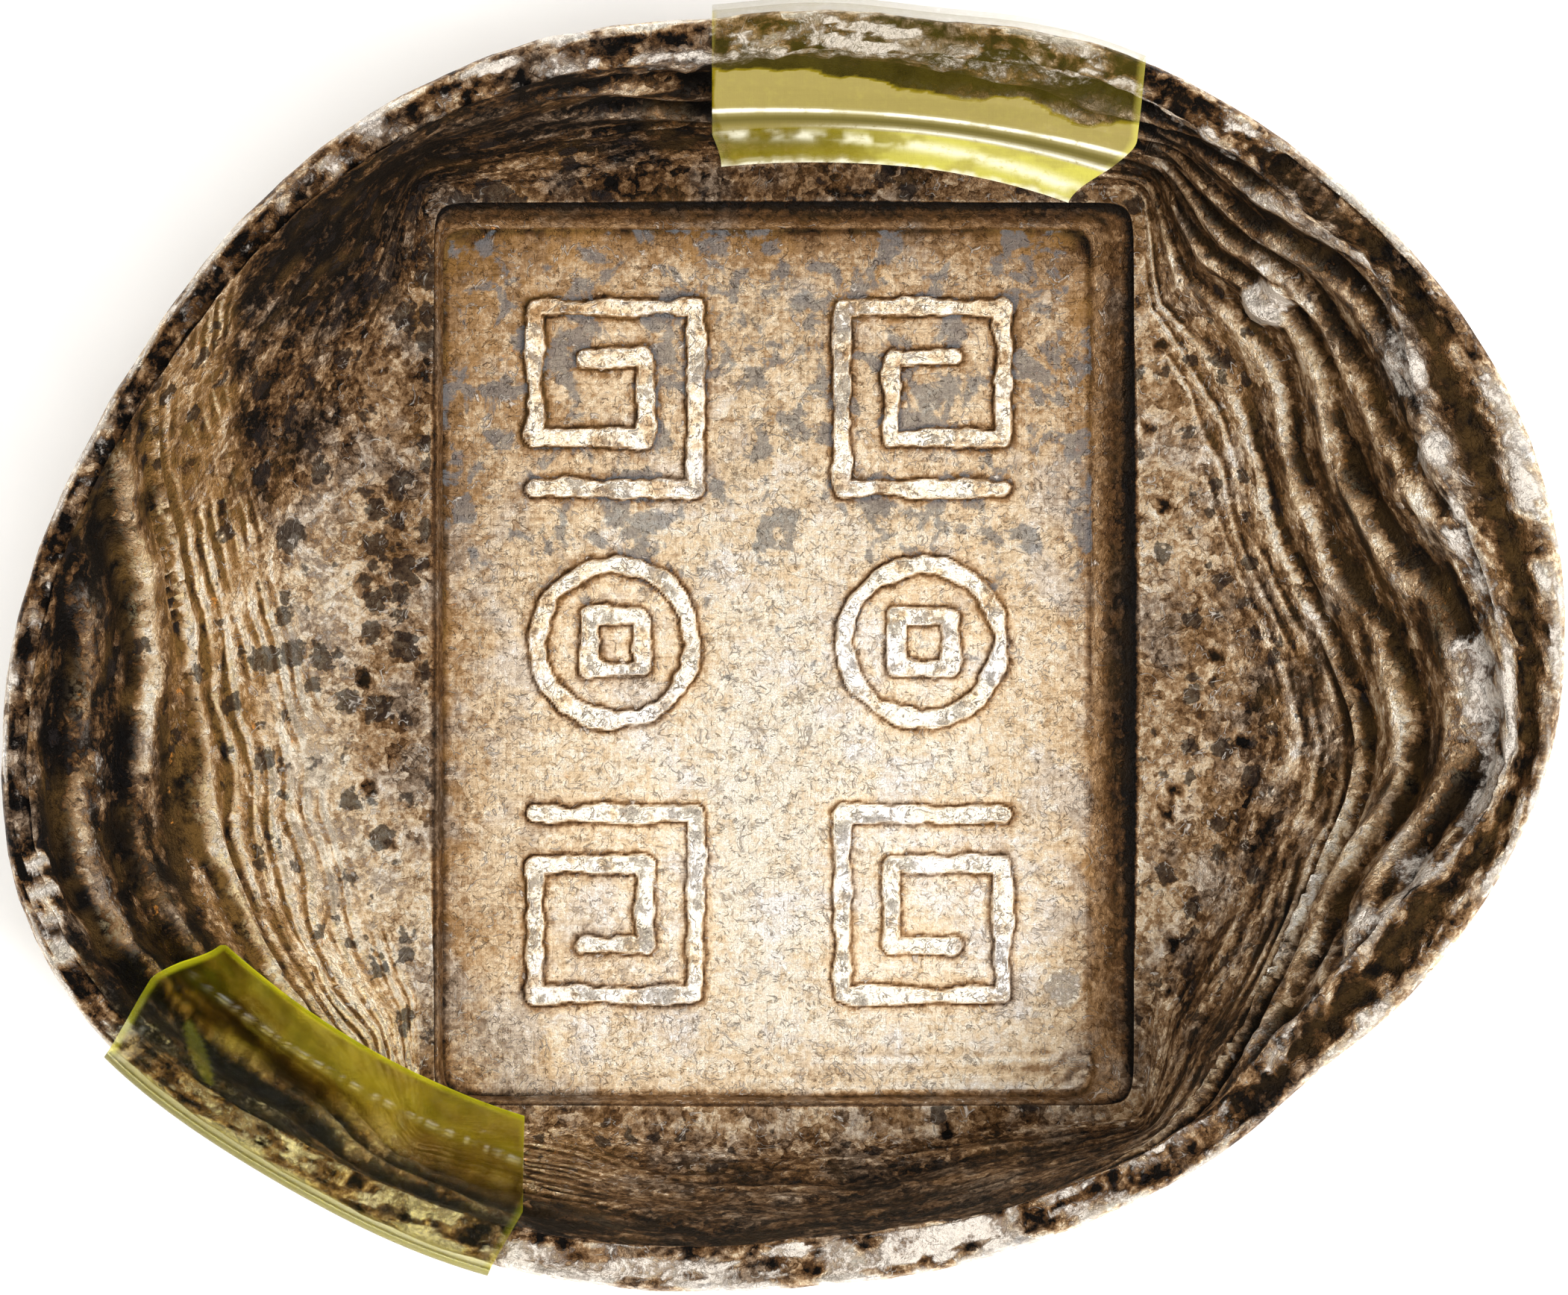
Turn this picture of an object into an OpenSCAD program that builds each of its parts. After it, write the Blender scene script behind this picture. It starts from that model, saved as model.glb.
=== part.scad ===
// Trough-shaped cast silver ingot with a sunk panel, held at its rim by two clear clips.
// Millimetres, +Z up. The origin is the centre of the flat spot that the ingot rests on,
// +X runs along the oval rim and the panel's long side runs along Y.

/* [Rim] */
// Long axis of the oval rim
rim_length = 60.4; // [56:0.1:66]
// Short axis of the oval rim
rim_width = 49.4; // [46:0.1:54]
// Turn of the oval in plan, in degrees
rim_turn = 11; // [0:1:20]
// Height of the rim above the flat base, at mid slope
rim_height = 20; // [16:0.1:24]
// Height that the rim gains from its sides to its ends
end_rise = 0.6; // [0:0.1:1.5]
// Depth of the largest bulge in the hand-poured outline
bulge_depth = 0.95; // [0:0.05:1.2]
// Width of the lip where it is narrow
lip_width = 1; // [0.7:0.1:1.6]
// Width that the lip gains along the front
lip_front = 0.9; // [0:0.1:1.4]
// Width that the lip gains along the back
lip_back = 0.7; // [0:0.1:1.4]
// Width that the lip gains along the right end, where a second ridge runs inside it
lip_double = 1.7; // [0:0.1:2.2]
// Depth of the valley between the two ridges of the right end
valley_depth = 0.9; // [0:0.1:1.5]
// How far the inner ridge of the right end sways in and out
ridge_sway = 1.1; // [0:0.1:1.2]
// Height of the rounded outer edge of the lip
lip_round = 0.7; // [0.3:0.1:1.2]

/* [Base] */
// Length of the flat spot underneath
base_length = 34; // [28:0.5:42]
// Width of the flat spot underneath
base_width = 25; // [20:0.5:32]

/* [Bowl] */
// Height of the bowl's floor above the base
floor_height = 8.7; // [7:0.1:11]
// Flat strip of floor to the left and right of the panel
floor_side = 2.6; // [1:0.1:4]
// Flat strip of floor in front of and behind the panel
floor_end = 1.3; // [0.8:0.1:2]
// Height of the flow ripples near the rim
ripple_height = 0.8; // [0:0.05:1]
// Number of flow ripples on the upper part of the bowl's wall
ripple_count = 3; // [2:1:4]

/* [Panel] */
// Size of the sunk panel along X
panel_width = 27.6; // [24:0.1:29]
// Size of the sunk panel along Y
panel_length = 35.6; // [30:0.1:36.5]
// Shift of the panel towards the front
panel_shift = 0.25; // [0:0.05:0.5]
// Depth of the panel below the bowl's floor
panel_depth = 1.2; // [0.5:0.1:2]
// Plan width of the panel's sloping right wall
panel_slope_right = 1.65; // [0.4:0.05:2.5]
// Plan width of the panel's sloping back wall
panel_slope_back = 1; // [0.4:0.05:2.5]
// Plan width of the panel's steep left and front walls
panel_slope_steep = 0.45; // [0.3:0.05:1]

/* [Clips] */
// Direction of the upper clip from the middle of the ingot, in degrees
upper_clip_direction = 77; // [68:1:88]
// Direction of the lower clip from the middle of the ingot, in degrees
lower_clip_direction = 227; // [216:1:238]
// Width of a clip where it goes over the rim
clip_outer_width = 16.8; // [12:0.1:20]
// Width of a clip at its inner edge
clip_inner_width = 13.3; // [8:0.1:16]
// Reach of a clip from the rim's outline into the bowl
clip_reach = 6.4; // [5:0.1:8]
// Flat length of a clip over the rim, before it bends down
clip_flat = 3.2; // [2.6:0.1:4]
// Drop of a clip from its bend to its inner edge
clip_drop = 1.5; // [0.5:0.1:2.5]
// Depth of the turned-down inner edge below the sloping sheet
clip_flange = 1.2; // [0.8:0.1:2]
// Depth of the skirt outside the rim
clip_skirt = 5; // [3:0.1:7]
// Thickness of the clear sheet
clip_sheet = 0.5; // [0.4:0.05:1]
// Clearance between a clip and the rim
clip_gap = 0.2; // [0.15:0.05:0.4]

/* [Hidden] */
silver_colour = [0.64, 0.55, 0.44];
clip_colour = [0.74, 0.71, 0.36, 0.6];
// Bulges and dents of the oval rim, each a direction, an angular spread and a share of the depth
rim_lobes = [
    [203, 15, 1], [227, 12, -0.2], [161, 20, -0.9], [122, 26, 0.5], [96, 10, -0.5],
    [77, 10, -0.55], [36, 26, -0.8], [349, 14, 0.4], [321, 7, -0.4], [270, 12, -0.15]
];
// Swings of the right end's inner ridge, each a direction, an angular spread and a share of the sway
ridge_swings = [[15, 9, 1], [349, 8, -1], [333, 9, 0.4], [32, 6, -0.6]];
// Middle and half spread of the right end's double lip, and of the wide front and back lips
double_lip_direction = 1;
double_lip_spread = 42;
front_lip_direction = 270;
back_lip_direction = 100;
wide_lip_spread = 50;
// Where the valley and the outer ridge lie across the lip, from its inner edge to its outline
valley_place = 0.45;
ridge_place = 0.75;
// How much lower the outer ridge of the lip is than the inner one
lip_drop = 0.15;
// Sharpness of the panel's corners and roundness of the floor around it
panel_sharpness = 14;
floor_sharpness = 3;
// Least strip of floor at the panel's corners
corner_strip = 0.7;
// How the bowl's wall steepens
wall_curve = 1.8;
// Shares of the way up the wall where the ripples begin, are in full, are highest and fade out again
ripple_begin = 0.4;
ripple_start = 0.5;
ripple_top = 0.8;
ripple_end = 0.93;
// Where in its own run a ripple crests, and how far the ripples sway
ripple_crest = 0.8;
ripple_sway = 0.3;
// Waves of that sway, each its count in a full turn, its shift up the wall, its offset and its share
sway_waves = [[4, 220, 0, 1], [9, -160, 50, 0.6]];
// Stretches of wall that the ripples cover, each a middle direction and an angular spread, and how
// sharply such a stretch ends
ripple_run_power = 6;
right_ripples = [0, 58];
left_ripples = [186, 62];
back_ripples = [82, 30];
// How fast the right end's ripples climb with the turn, and how fast the left end's fall off to its sides
right_climb = 0.0085;
left_fall_back = 0.00035;
left_fall_front = 0.0001;
left_level_from = 196;
left_level_to = 200;
// Columns round the ingot, and rings up the bowl's wall and down its outside
columns = 96;
wall_rings = 32;
side_rings = 9;
column_step = 360 / columns;
panel_height = floor_height - panel_depth;
// Half the angle of outline that a clip is cut from, its step, and the part that sets its facing
clip_span = 30;
clip_step = 1.5;
facing_span = 8;

// Sum of a list
function total(list, i = 0) = i < len(list) ? list[i] + total(list, i + 1) : 0;

// Signed difference between two directions, within half a turn
function turn_between(a, b) = (a - b) - 360 * round((a - b) / 360);

// Bell-shaped share, 1 at the middle direction; a higher power makes it flat-topped
function swell(a, middle, spread, power = 2) = exp(-pow(abs(turn_between(a, middle)) / spread, power));

// Radius of an oval in a direction measured from its long axis
function oval(a, long, short) =
    long * short / 2 / sqrt(pow(short * cos(a), 2) + pow(long * sin(a), 2));

// Radius of a rounded box, with its four half sizes, in a direction
function box_radius(a, left, right, front, back, sharpness) =
    let (
        x = abs(cos(a)) / (cos(a) > 0 ? right : left),
        y = abs(sin(a)) / (sin(a) > 0 ? back : front)
    )
    1 / pow(pow(x, sharpness) + pow(y, sharpness), 1 / sharpness);

// Sum of a list of swells, each a direction, an angular spread and a share
function swells(a, list) = total([for (lobe = list) lobe[2] * swell(a, lobe[0], lobe[1])]);

// Plan outline, height and lip width of the rim in a direction
function rim_radius(a) = oval(a - rim_turn, rim_length, rim_width) + bulge_depth * swells(a, rim_lobes);
function rim_level(a) = rim_height + end_rise / 2 * cos(2 * (a - rim_turn));
function double_lip(a) = swell(a, double_lip_direction, double_lip_spread, 4);
function lip_band(a) =
    lip_width
    + lip_front * swell(a, front_lip_direction, wide_lip_spread)
    + lip_back * swell(a, back_lip_direction, wide_lip_spread)
    + lip_double * double_lip(a)
    + ridge_sway * swells(a, ridge_swings);

// Outlines of the panel's brim and floor, of the bowl's floor and of the flat base
function brim_radius(a) =
    box_radius(a, panel_width / 2, panel_width / 2,
        panel_length / 2 + panel_shift, panel_length / 2 - panel_shift, panel_sharpness);
function panel_radius(a) =
    box_radius(a, panel_width / 2 - panel_slope_steep, panel_width / 2 - panel_slope_right,
        panel_length / 2 + panel_shift - panel_slope_steep,
        panel_length / 2 - panel_shift - panel_slope_back, panel_sharpness);
function floor_radius(a) =
    max(brim_radius(a) + corner_strip,
        box_radius(a, panel_width / 2 + floor_side, panel_width / 2 + floor_side,
            panel_length / 2 + panel_shift + floor_end,
            panel_length / 2 - panel_shift + floor_end, floor_sharpness));
function base_radius(a) = oval(a - rim_turn, base_length, base_width);

// Share that eases from 0 at low to 1 at high
function ease(low, high, x) =
    let (t = min(max((x - low) / (high - low), 0), 1))
    t * t * (3 - 2 * t);

// Height share of a row of ripples, each rising gently to its crest and falling off sharply
function ripple(phase) =
    let (place = phase - floor(phase))
    ease(0, ripple_crest, place) - ease(ripple_crest, 1, place);

// How far the ripples sway in a direction, at a share w of the way from the floor to the rim's crest
function sway(a, w) =
    ripple_sway * total([for (wave = sway_waves) wave[3] * sin(wave[0] * a + wave[1] * w + wave[2])]);

// Ripples of one stretch of wall, about its mean, at a place that counts up from the floor to the rim
function stretch(a, place, run, shift) =
    swell(a, run[0], run[1], ripple_run_power)
    * ease(ripple_begin, ripple_start, place)
    * (ripple(ripple_count * (place - ripple_start) / (1 - ripple_start) + shift) - 1 / 2);

// Height of the ripples in a direction, at a share w of the way up the wall
function ripples(a, w) =
    let (
        shift = sway(a, w),
        climb = right_climb * turn_between(a, right_ripples[0]),
        fall = left_fall_back * pow(max(left_level_from - a, 0), 2)
            + left_fall_front * pow(max(a - left_level_to, 0), 2)
    )
    ripple_height * ease(0, ripple_top, w) * ease(1, ripple_end, w) * (
        stretch(a, w + climb, right_ripples, shift)
        + stretch(a, w - fall, left_ripples, shift)
        + stretch(a, w, back_ripples, shift)
    );

// Point of the bowl's wall, as radius and height, with its ripples standing off it squarely
function wall_point(a, foot, crest, w) =
    let (
        rise = rim_level(a) - floor_height,
        lean = atan2(rise * wall_curve * pow(w, wall_curve - 1), crest - foot),
        height = ripples(a, w)
    )
    [
        foot + (crest - foot) * w - height * sin(lean),
        floor_height + rise * pow(w, wall_curve) + height * cos(lean)
    ];

// Half section of the ingot in a direction, as radius and height, from the panel's floor to the base
function section(a) =
    let (
        outline = rim_radius(a),
        band = lip_band(a),
        crest = outline - band,
        foot = floor_radius(a),
        base = base_radius(a),
        level = rim_level(a),
        edge = level - lip_round
    )
    concat(
        [[panel_radius(a), panel_height], [brim_radius(a), floor_height]],
        [for (i = [0:wall_rings]) wall_point(a, foot, crest, i / wall_rings)],
        [
            [crest + band * valley_place, level - lip_drop - valley_depth * double_lip(a)],
            [crest + band * ridge_place, level - lip_drop],
            [outline, edge]
        ],
        [for (i = [1:side_rings]) let (t = 90 * i / side_rings)
            [base + (outline - base) * cos(t), edge * (1 - sin(t))]]
    );

// Place in plan of the rim's outline moved outwards, and the direction that the rim faces there
function rim_point(a, outwards = 0) =
    (rim_radius(a) + outwards) * [cos(a), sin(a)];
function rim_facing(a) =
    let (run = rim_point(a + facing_span) - rim_point(a - facing_span))
    atan2(run[1], run[0]) - 90;

// The casting: half sections turned round the middle and closed by two fans
module ingot() {
    rows = len(section(0));
    rim = [for (i = [0:columns - 1], p = section(i * column_step))
        [p[0] * cos(i * column_step), p[0] * sin(i * column_step), p[1]]];
    panel_middle = len(rim);
    base_middle = panel_middle + 1;
    skin = [for (i = [0:columns - 1], j = [0:rows - 2], half = [0, 1])
        let (near = i * rows + j, far = ((i + 1) % columns) * rows + j)
        half == 0 ? [near, far, far + 1] : [near, far + 1, near + 1]];
    panel_fan = [for (i = [0:columns - 1]) [panel_middle, ((i + 1) % columns) * rows, i * rows]];
    base_fan = [for (i = [0:columns - 1])
        [base_middle, (i + 1) * rows - 1, ((i + 1) % columns + 1) * rows - 1]];
    color(silver_colour)
        polyhedron(
            points = concat(rim, [[0, 0, panel_height], [0, 0, 0]]),
            faces = concat(skin, panel_fan, base_fan)
        );
}

// Slice of the space inside the rim's outline near a direction, as a tall prism
module rim_slice(direction, outwards, height) {
    linear_extrude(height = height)
        polygon(concat([[0, 0]], [for (a = [-clip_span:clip_step:clip_span])
            rim_point(direction + a, outwards)]));
}

// Side view of a clip's sheet over the rim, with x outwards from the rim's outline
module clip_side_view(under) {
    top = under + clip_sheet;
    inner = -clip_reach;
    bend = -clip_flat;
    fall = clip_drop / (clip_reach - clip_flat);
    flange_back = inner + clip_sheet;
    low = top - clip_drop - clip_sheet - clip_flange;
    past_rim = 3 * (clip_gap + clip_sheet);
    polygon([
        [past_rim, top], [bend, top], [inner, top - clip_drop],
        [inner, low], [flange_back, low],
        [flange_back, under - fall * (bend - flange_back)],
        [bend, under], [past_rim, under]
    ]);
}

// A hook-shaped clear clip over the rim, with mitred ends and a skirt outside
module rim_clip(direction) {
    under = clip_gap + max([for (a = [-clip_span:clip_step:clip_span]) rim_level(direction + a)]);
    top = under + clip_sheet;
    outside = clip_gap + clip_sheet;
    past_rim = 3 * outside;
    facing = rim_facing(direction);
    seat = rim_point(direction);
    color(clip_colour)
        intersection() {
            rim_slice(direction, outside, 2 * top);
            translate([seat[0], seat[1], 0])
                rotate([0, 0, facing])
                linear_extrude(height = 2 * top)
                polygon([
                    [past_rim, clip_outer_width / 2], [0, clip_outer_width / 2],
                    [-clip_reach, clip_inner_width / 2], [-clip_reach, -clip_inner_width / 2],
                    [0, -clip_outer_width / 2], [past_rim, -clip_outer_width / 2]
                ]);
            union() {
                translate([seat[0], seat[1], 0])
                    rotate([0, 0, facing])
                    rotate([90, 0, 0])
                    linear_extrude(height = 2 * clip_outer_width, center = true)
                    clip_side_view(under);
                difference() {
                    translate([0, 0, top - clip_skirt])
                        rim_slice(direction, 2 * outside, clip_skirt - clip_sheet / 2);
                    rim_slice(direction, clip_gap, 2 * top);
                }
            }
        }
}

module upper_clip() {
    rim_clip(upper_clip_direction);
}

module lower_clip() {
    rim_clip(lower_clip_direction);
}

ingot();
upper_clip();
lower_clip();
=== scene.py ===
"""Looks of a trough-shaped cast silver ingot with two clear clips hooked over its rim."""

from __future__ import annotations

import logging
import math
from collections.abc import Callable
from dataclasses import dataclass, field
from enum import Enum

import bmesh
import bpy
from mathutils import Matrix, Vector, noise


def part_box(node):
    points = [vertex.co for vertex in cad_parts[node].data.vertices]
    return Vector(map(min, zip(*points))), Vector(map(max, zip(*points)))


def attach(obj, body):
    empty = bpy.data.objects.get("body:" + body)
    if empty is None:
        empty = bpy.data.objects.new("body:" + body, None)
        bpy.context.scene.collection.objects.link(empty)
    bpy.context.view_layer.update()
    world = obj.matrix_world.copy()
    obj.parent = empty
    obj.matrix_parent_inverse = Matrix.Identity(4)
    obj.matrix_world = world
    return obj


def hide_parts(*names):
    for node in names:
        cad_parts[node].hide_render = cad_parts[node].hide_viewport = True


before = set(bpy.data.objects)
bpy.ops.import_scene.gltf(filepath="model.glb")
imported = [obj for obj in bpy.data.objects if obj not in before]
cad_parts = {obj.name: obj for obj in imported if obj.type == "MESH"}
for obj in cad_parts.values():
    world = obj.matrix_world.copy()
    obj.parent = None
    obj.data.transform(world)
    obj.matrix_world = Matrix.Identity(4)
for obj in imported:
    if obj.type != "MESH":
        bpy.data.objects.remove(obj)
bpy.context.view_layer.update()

LOG = logging.getLogger("silver_ingot")
MM = 0.001
Colour = tuple[float, ...]
Rgb = tuple[int, int, int]
Stops = tuple[tuple[float, Rgb], ...]
Lobes = tuple[tuple[float, float, float], ...]
Sides = tuple[float, float, float, float]
Socket = bpy.types.NodeSocket
Value = Socket | float
Feeds = dict[str, Value | Colour]
UPPER_CLIP_TURN = 77.0
LOWER_CLIP_TURN = 227.0
FOLD_CREST = 0.8


def smooth(low: float, high: float, value: float) -> float:
    """Share that eases from 0 at low to 1 at high."""
    share = min(max((value - low) / (high - low), 0.0), 1.0)
    return share * share * (3.0 - 2.0 * share)


def mix(first: float, second: float, share: float) -> float:
    """Value a share of the way from the first to the second."""
    return first + (second - first) * share


def turn_gap(turn: float, middle: float) -> float:
    """Signed difference between two directions in degrees, within half a turn."""
    return (turn - middle + 180.0) % 360.0 - 180.0


def swell(turn: float, middle: float, spread: float, power: float = 2.0) -> float:
    """Bell-shaped share, 1 at the middle direction; a higher power makes it flat-topped."""
    return math.exp(-((abs(turn_gap(turn, middle)) / spread) ** power))


def bell(value: float, middle: float, spread: float) -> float:
    """Bell-shaped share of a plain value, 1 at the middle."""
    return math.exp(-(((value - middle) / spread) ** 2))


def oval(turn: float, long: float, short: float) -> float:
    """Radius of an oval in a direction measured from its long axis, in degrees."""
    angle = math.radians(turn)
    return long * short / 2.0 / math.hypot(short * math.cos(angle), long * math.sin(angle))


def grain(place: Vector, size: float, octaves: int = 3) -> float:
    """Smooth random height of about -1 to 1, with lumps of the given size."""
    return noise.fractal(place / size, 1.0, 2.0, octaves)


def fold(phase: float) -> float:
    """Height share of a row of folds, each rising gently to a crest and falling off sharply."""
    place = phase % 1.0
    return smooth(0.0, FOLD_CREST, place) - smooth(FOLD_CREST, 1.0, place)


def flow(turn: float, climb: float, along: float, across: float, seed: float, octaves: int = 3) -> float:
    """Smooth random height that is stretched along the rim.

    Args:
        turn: Direction in degrees.
        climb: Share of the way up the wall.
        along: Lumps in a radian of turn.
        across: Lumps from the floor to the rim.
        seed: Number that tells one such height from another.
        octaves: How many finer layers it has.

    Returns:
        About -1 to 1, with no seam where the turn starts over.
    """
    angle = math.radians(turn)
    place = Vector((along * math.cos(angle), along * math.sin(angle), across * climb + seed))
    return noise.fractal(place, 1.0, 2.0, octaves)


def pit(place: Vector, spacing: float, radius: float, share: float) -> float:
    """Depth share of round pits scattered over a surface.

    Args:
        place: Point on the surface.
        spacing: Mean distance between neighbouring pits.
        radius: Radius of a pit as a share of the spacing.
        share: Share of the places that really hold a pit.

    Returns:
        1 in the middle of a pit and 0 outside.
    """
    distances, points = noise.voronoi(place / spacing)
    if noise.cell(points[0] * 37.0) > 2.0 * share - 1.0:
        return 0.0
    return smooth(radius, radius * 0.35, distances[0])


def linear(red: int, green: int, blue: int) -> Colour:
    """Scene colour for a screen colour.

    Args:
        red: Red channel, 0 to 255.
        green: Green channel, 0 to 255.
        blue: Blue channel, 0 to 255.

    Returns:
        Linear light of each channel, and full cover.
    """

    def channel(value: int) -> float:
        """Linear light of one channel."""
        share = value / 255.0
        return share / 12.92 if share <= 0.04045 else ((share + 0.055) / 1.055) ** 2.4

    return (channel(red), channel(green), channel(blue), 1.0)


@dataclass(frozen=True)
class Arc:
    """Stretch of the rim: its middle direction, its spread in degrees and how flat-topped it is."""

    middle: float
    spread: float
    power: float = 4.0

    def share(self, turn: float) -> float:
        """Share of the stretch in a direction, 1 in its middle."""
        return swell(turn, self.middle, self.spread, self.power)


DOUBLE_LIP = Arc(1.0, 42.0)
LEFT_END = Arc(183.0, 52.0)
BACK_WALL = Arc(93.0, 42.0)
FRONT_WALL = Arc(272.0, 42.0)
UPPER_LEFT = Arc(150.0, 42.0)
LEFT_BANK = Arc(190.0, 34.0)
# Stretch of wall that gets a painted shadow from the lower clip.
CLIP_SHADOW = Arc(LOWER_CLIP_TURN, 22.0, 6.0)
BACK_CREST = Arc(75.0, 30.0)
LEFT_RIPPLES = Arc(186.0, 62.0, 6.0)
RIGHT_RIPPLES = Arc(0.0, 58.0, 6.0)
BACK_RIPPLES = Arc(82.0, 30.0, 6.0)
LEFT_LIP = Arc(172.0, 50.0)
FRONT_LIP = Arc(262.0, 48.0)
BACK_LIP = Arc(80.0, 40.0)
WIDE_FRONT = Arc(270.0, 50.0, 2.0)
WIDE_BACK = Arc(100.0, 50.0, 2.0)
STEEP_LEFT = Arc(180.0, 50.0, 6.0)
SCORCHES = ((Arc(40.0, 38.0, 2.0), 1.0), (Arc(318.0, 12.0, 2.0), 0.6), (Arc(110.0, 26.0, 2.0), 0.5))


class Zone(Enum):
    """Parts of the casting's skin, from the panel outwards and down to the base."""

    PANEL = 0
    PANEL_WALL = 1
    FLOOR = 2
    WALL = 3
    LIP = 4
    SIDE = 5
    BASE = 6


@dataclass
class Spot:
    """Relief and patina at one point of the casting."""

    height: float = 0.0
    tarnish: float = 0.5
    gild: float = 0.0
    slate: float = 0.0
    crust: float = 0.0
    brushed: float = 0.0
    flow: float = 0.0
    ripple: float = 0.0
    mottle: float = 1.0


@dataclass
class Ripple:
    """Flow ripples at one point of the bowl: their running count, strength, gilding with painted gold
    highlights, and relief.
    """

    phase: float = 0.0
    show: float = 0.0
    golden: float = 0.0
    height: float = 0.0


@dataclass(frozen=True)
class Stroke:
    """Raised straight bar of the panel's ornament, in millimetres."""

    start: tuple[float, float]
    end: tuple[float, float]
    half_width: float = 0.33

    def gap(self, x: float, y: float) -> float:
        """Distance of a point outside the bar's edge, negative inside it."""
        along_x = self.end[0] - self.start[0]
        along_y = self.end[1] - self.start[1]
        square = along_x * along_x + along_y * along_y
        share = ((x - self.start[0]) * along_x + (y - self.start[1]) * along_y) / square
        share = min(max(share, 0.0), 1.0)
        side_x = x - self.start[0] - along_x * share
        side_y = y - self.start[1] - along_y * share
        return math.hypot(side_x, side_y) - self.half_width


@dataclass
class Ornament:
    """Plain raised ornament of the panel: two columns with a coin ring between square frets."""

    column_left: float = -6.7
    column_right: float = 5.5
    row_back: float = 9.9
    row_middle: float = 0.2
    row_front: float = -10.2
    fret_wide: float = 6.4
    fret_tall: float = 7.2
    fret_step: float = 2.0
    ring_radius: float = 3.1
    ring_sides: int = 20
    hole_half: float = 1.05
    strokes: list[Stroke] = field(default_factory=list)

    def __post_init__(self) -> None:
        """Lay out the strokes of both columns."""
        for column, hand in ((self.column_left, -1.0), (self.column_right, 1.0)):
            self.add_fret(column, self.row_back, hand, 1.0)
            self.add_coin(column, self.row_middle)
            self.add_fret(column, self.row_front, hand, -1.0)

    def add_path(self, points: list[tuple[float, float]]) -> None:
        """Add a run of strokes along points."""
        for start, end in zip(points, points[1:]):
            self.strokes.append(Stroke(start, end))

    def add_fret(self, x: float, y: float, hand: float, way: float) -> None:
        """Add a square spiral.

        Args:
            x: Middle of the fret along X.
            y: Middle of the fret along Y.
            hand: 1 or -1, which way the spiral turns.
            way: 1 or -1, which end is up.
        """
        wide = self.fret_wide / 2.0
        tall = self.fret_tall / 2.0
        step = self.fret_step
        corners = [
            (wide, -tall), (-wide, -tall), (-wide, tall), (wide, tall),
            (wide, -tall + step), (-wide + step, -tall + step), (-wide + step, tall - step),
            (wide - step, tall - step),
        ]
        self.add_path([(x + hand * u, y + way * v) for u, v in corners])

    def add_coin(self, x: float, y: float) -> None:
        """Add a ring with a square hole, centred on a point."""
        turn = 2.0 * math.pi / self.ring_sides
        ring = [
            (x + self.ring_radius * math.cos(i * turn), y + self.ring_radius * math.sin(i * turn))
            for i in range(self.ring_sides + 1)
        ]
        half = self.hole_half
        square = [
            (x - half, y - half), (x + half, y - half), (x + half, y + half),
            (x - half, y + half), (x - half, y - half),
        ]
        self.add_path(ring)
        self.add_path(square)

    def gap(self, x: float, y: float) -> float:
        """Distance of a point outside the nearest stroke, negative inside it."""
        return min(stroke.gap(x, y) for stroke in self.strokes)


@dataclass(frozen=True)
class Lump:
    """Drop of metal or crust that sits on the casting, in millimetres."""

    x: float
    y: float
    radius: float
    height: float
    crust: float


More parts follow.
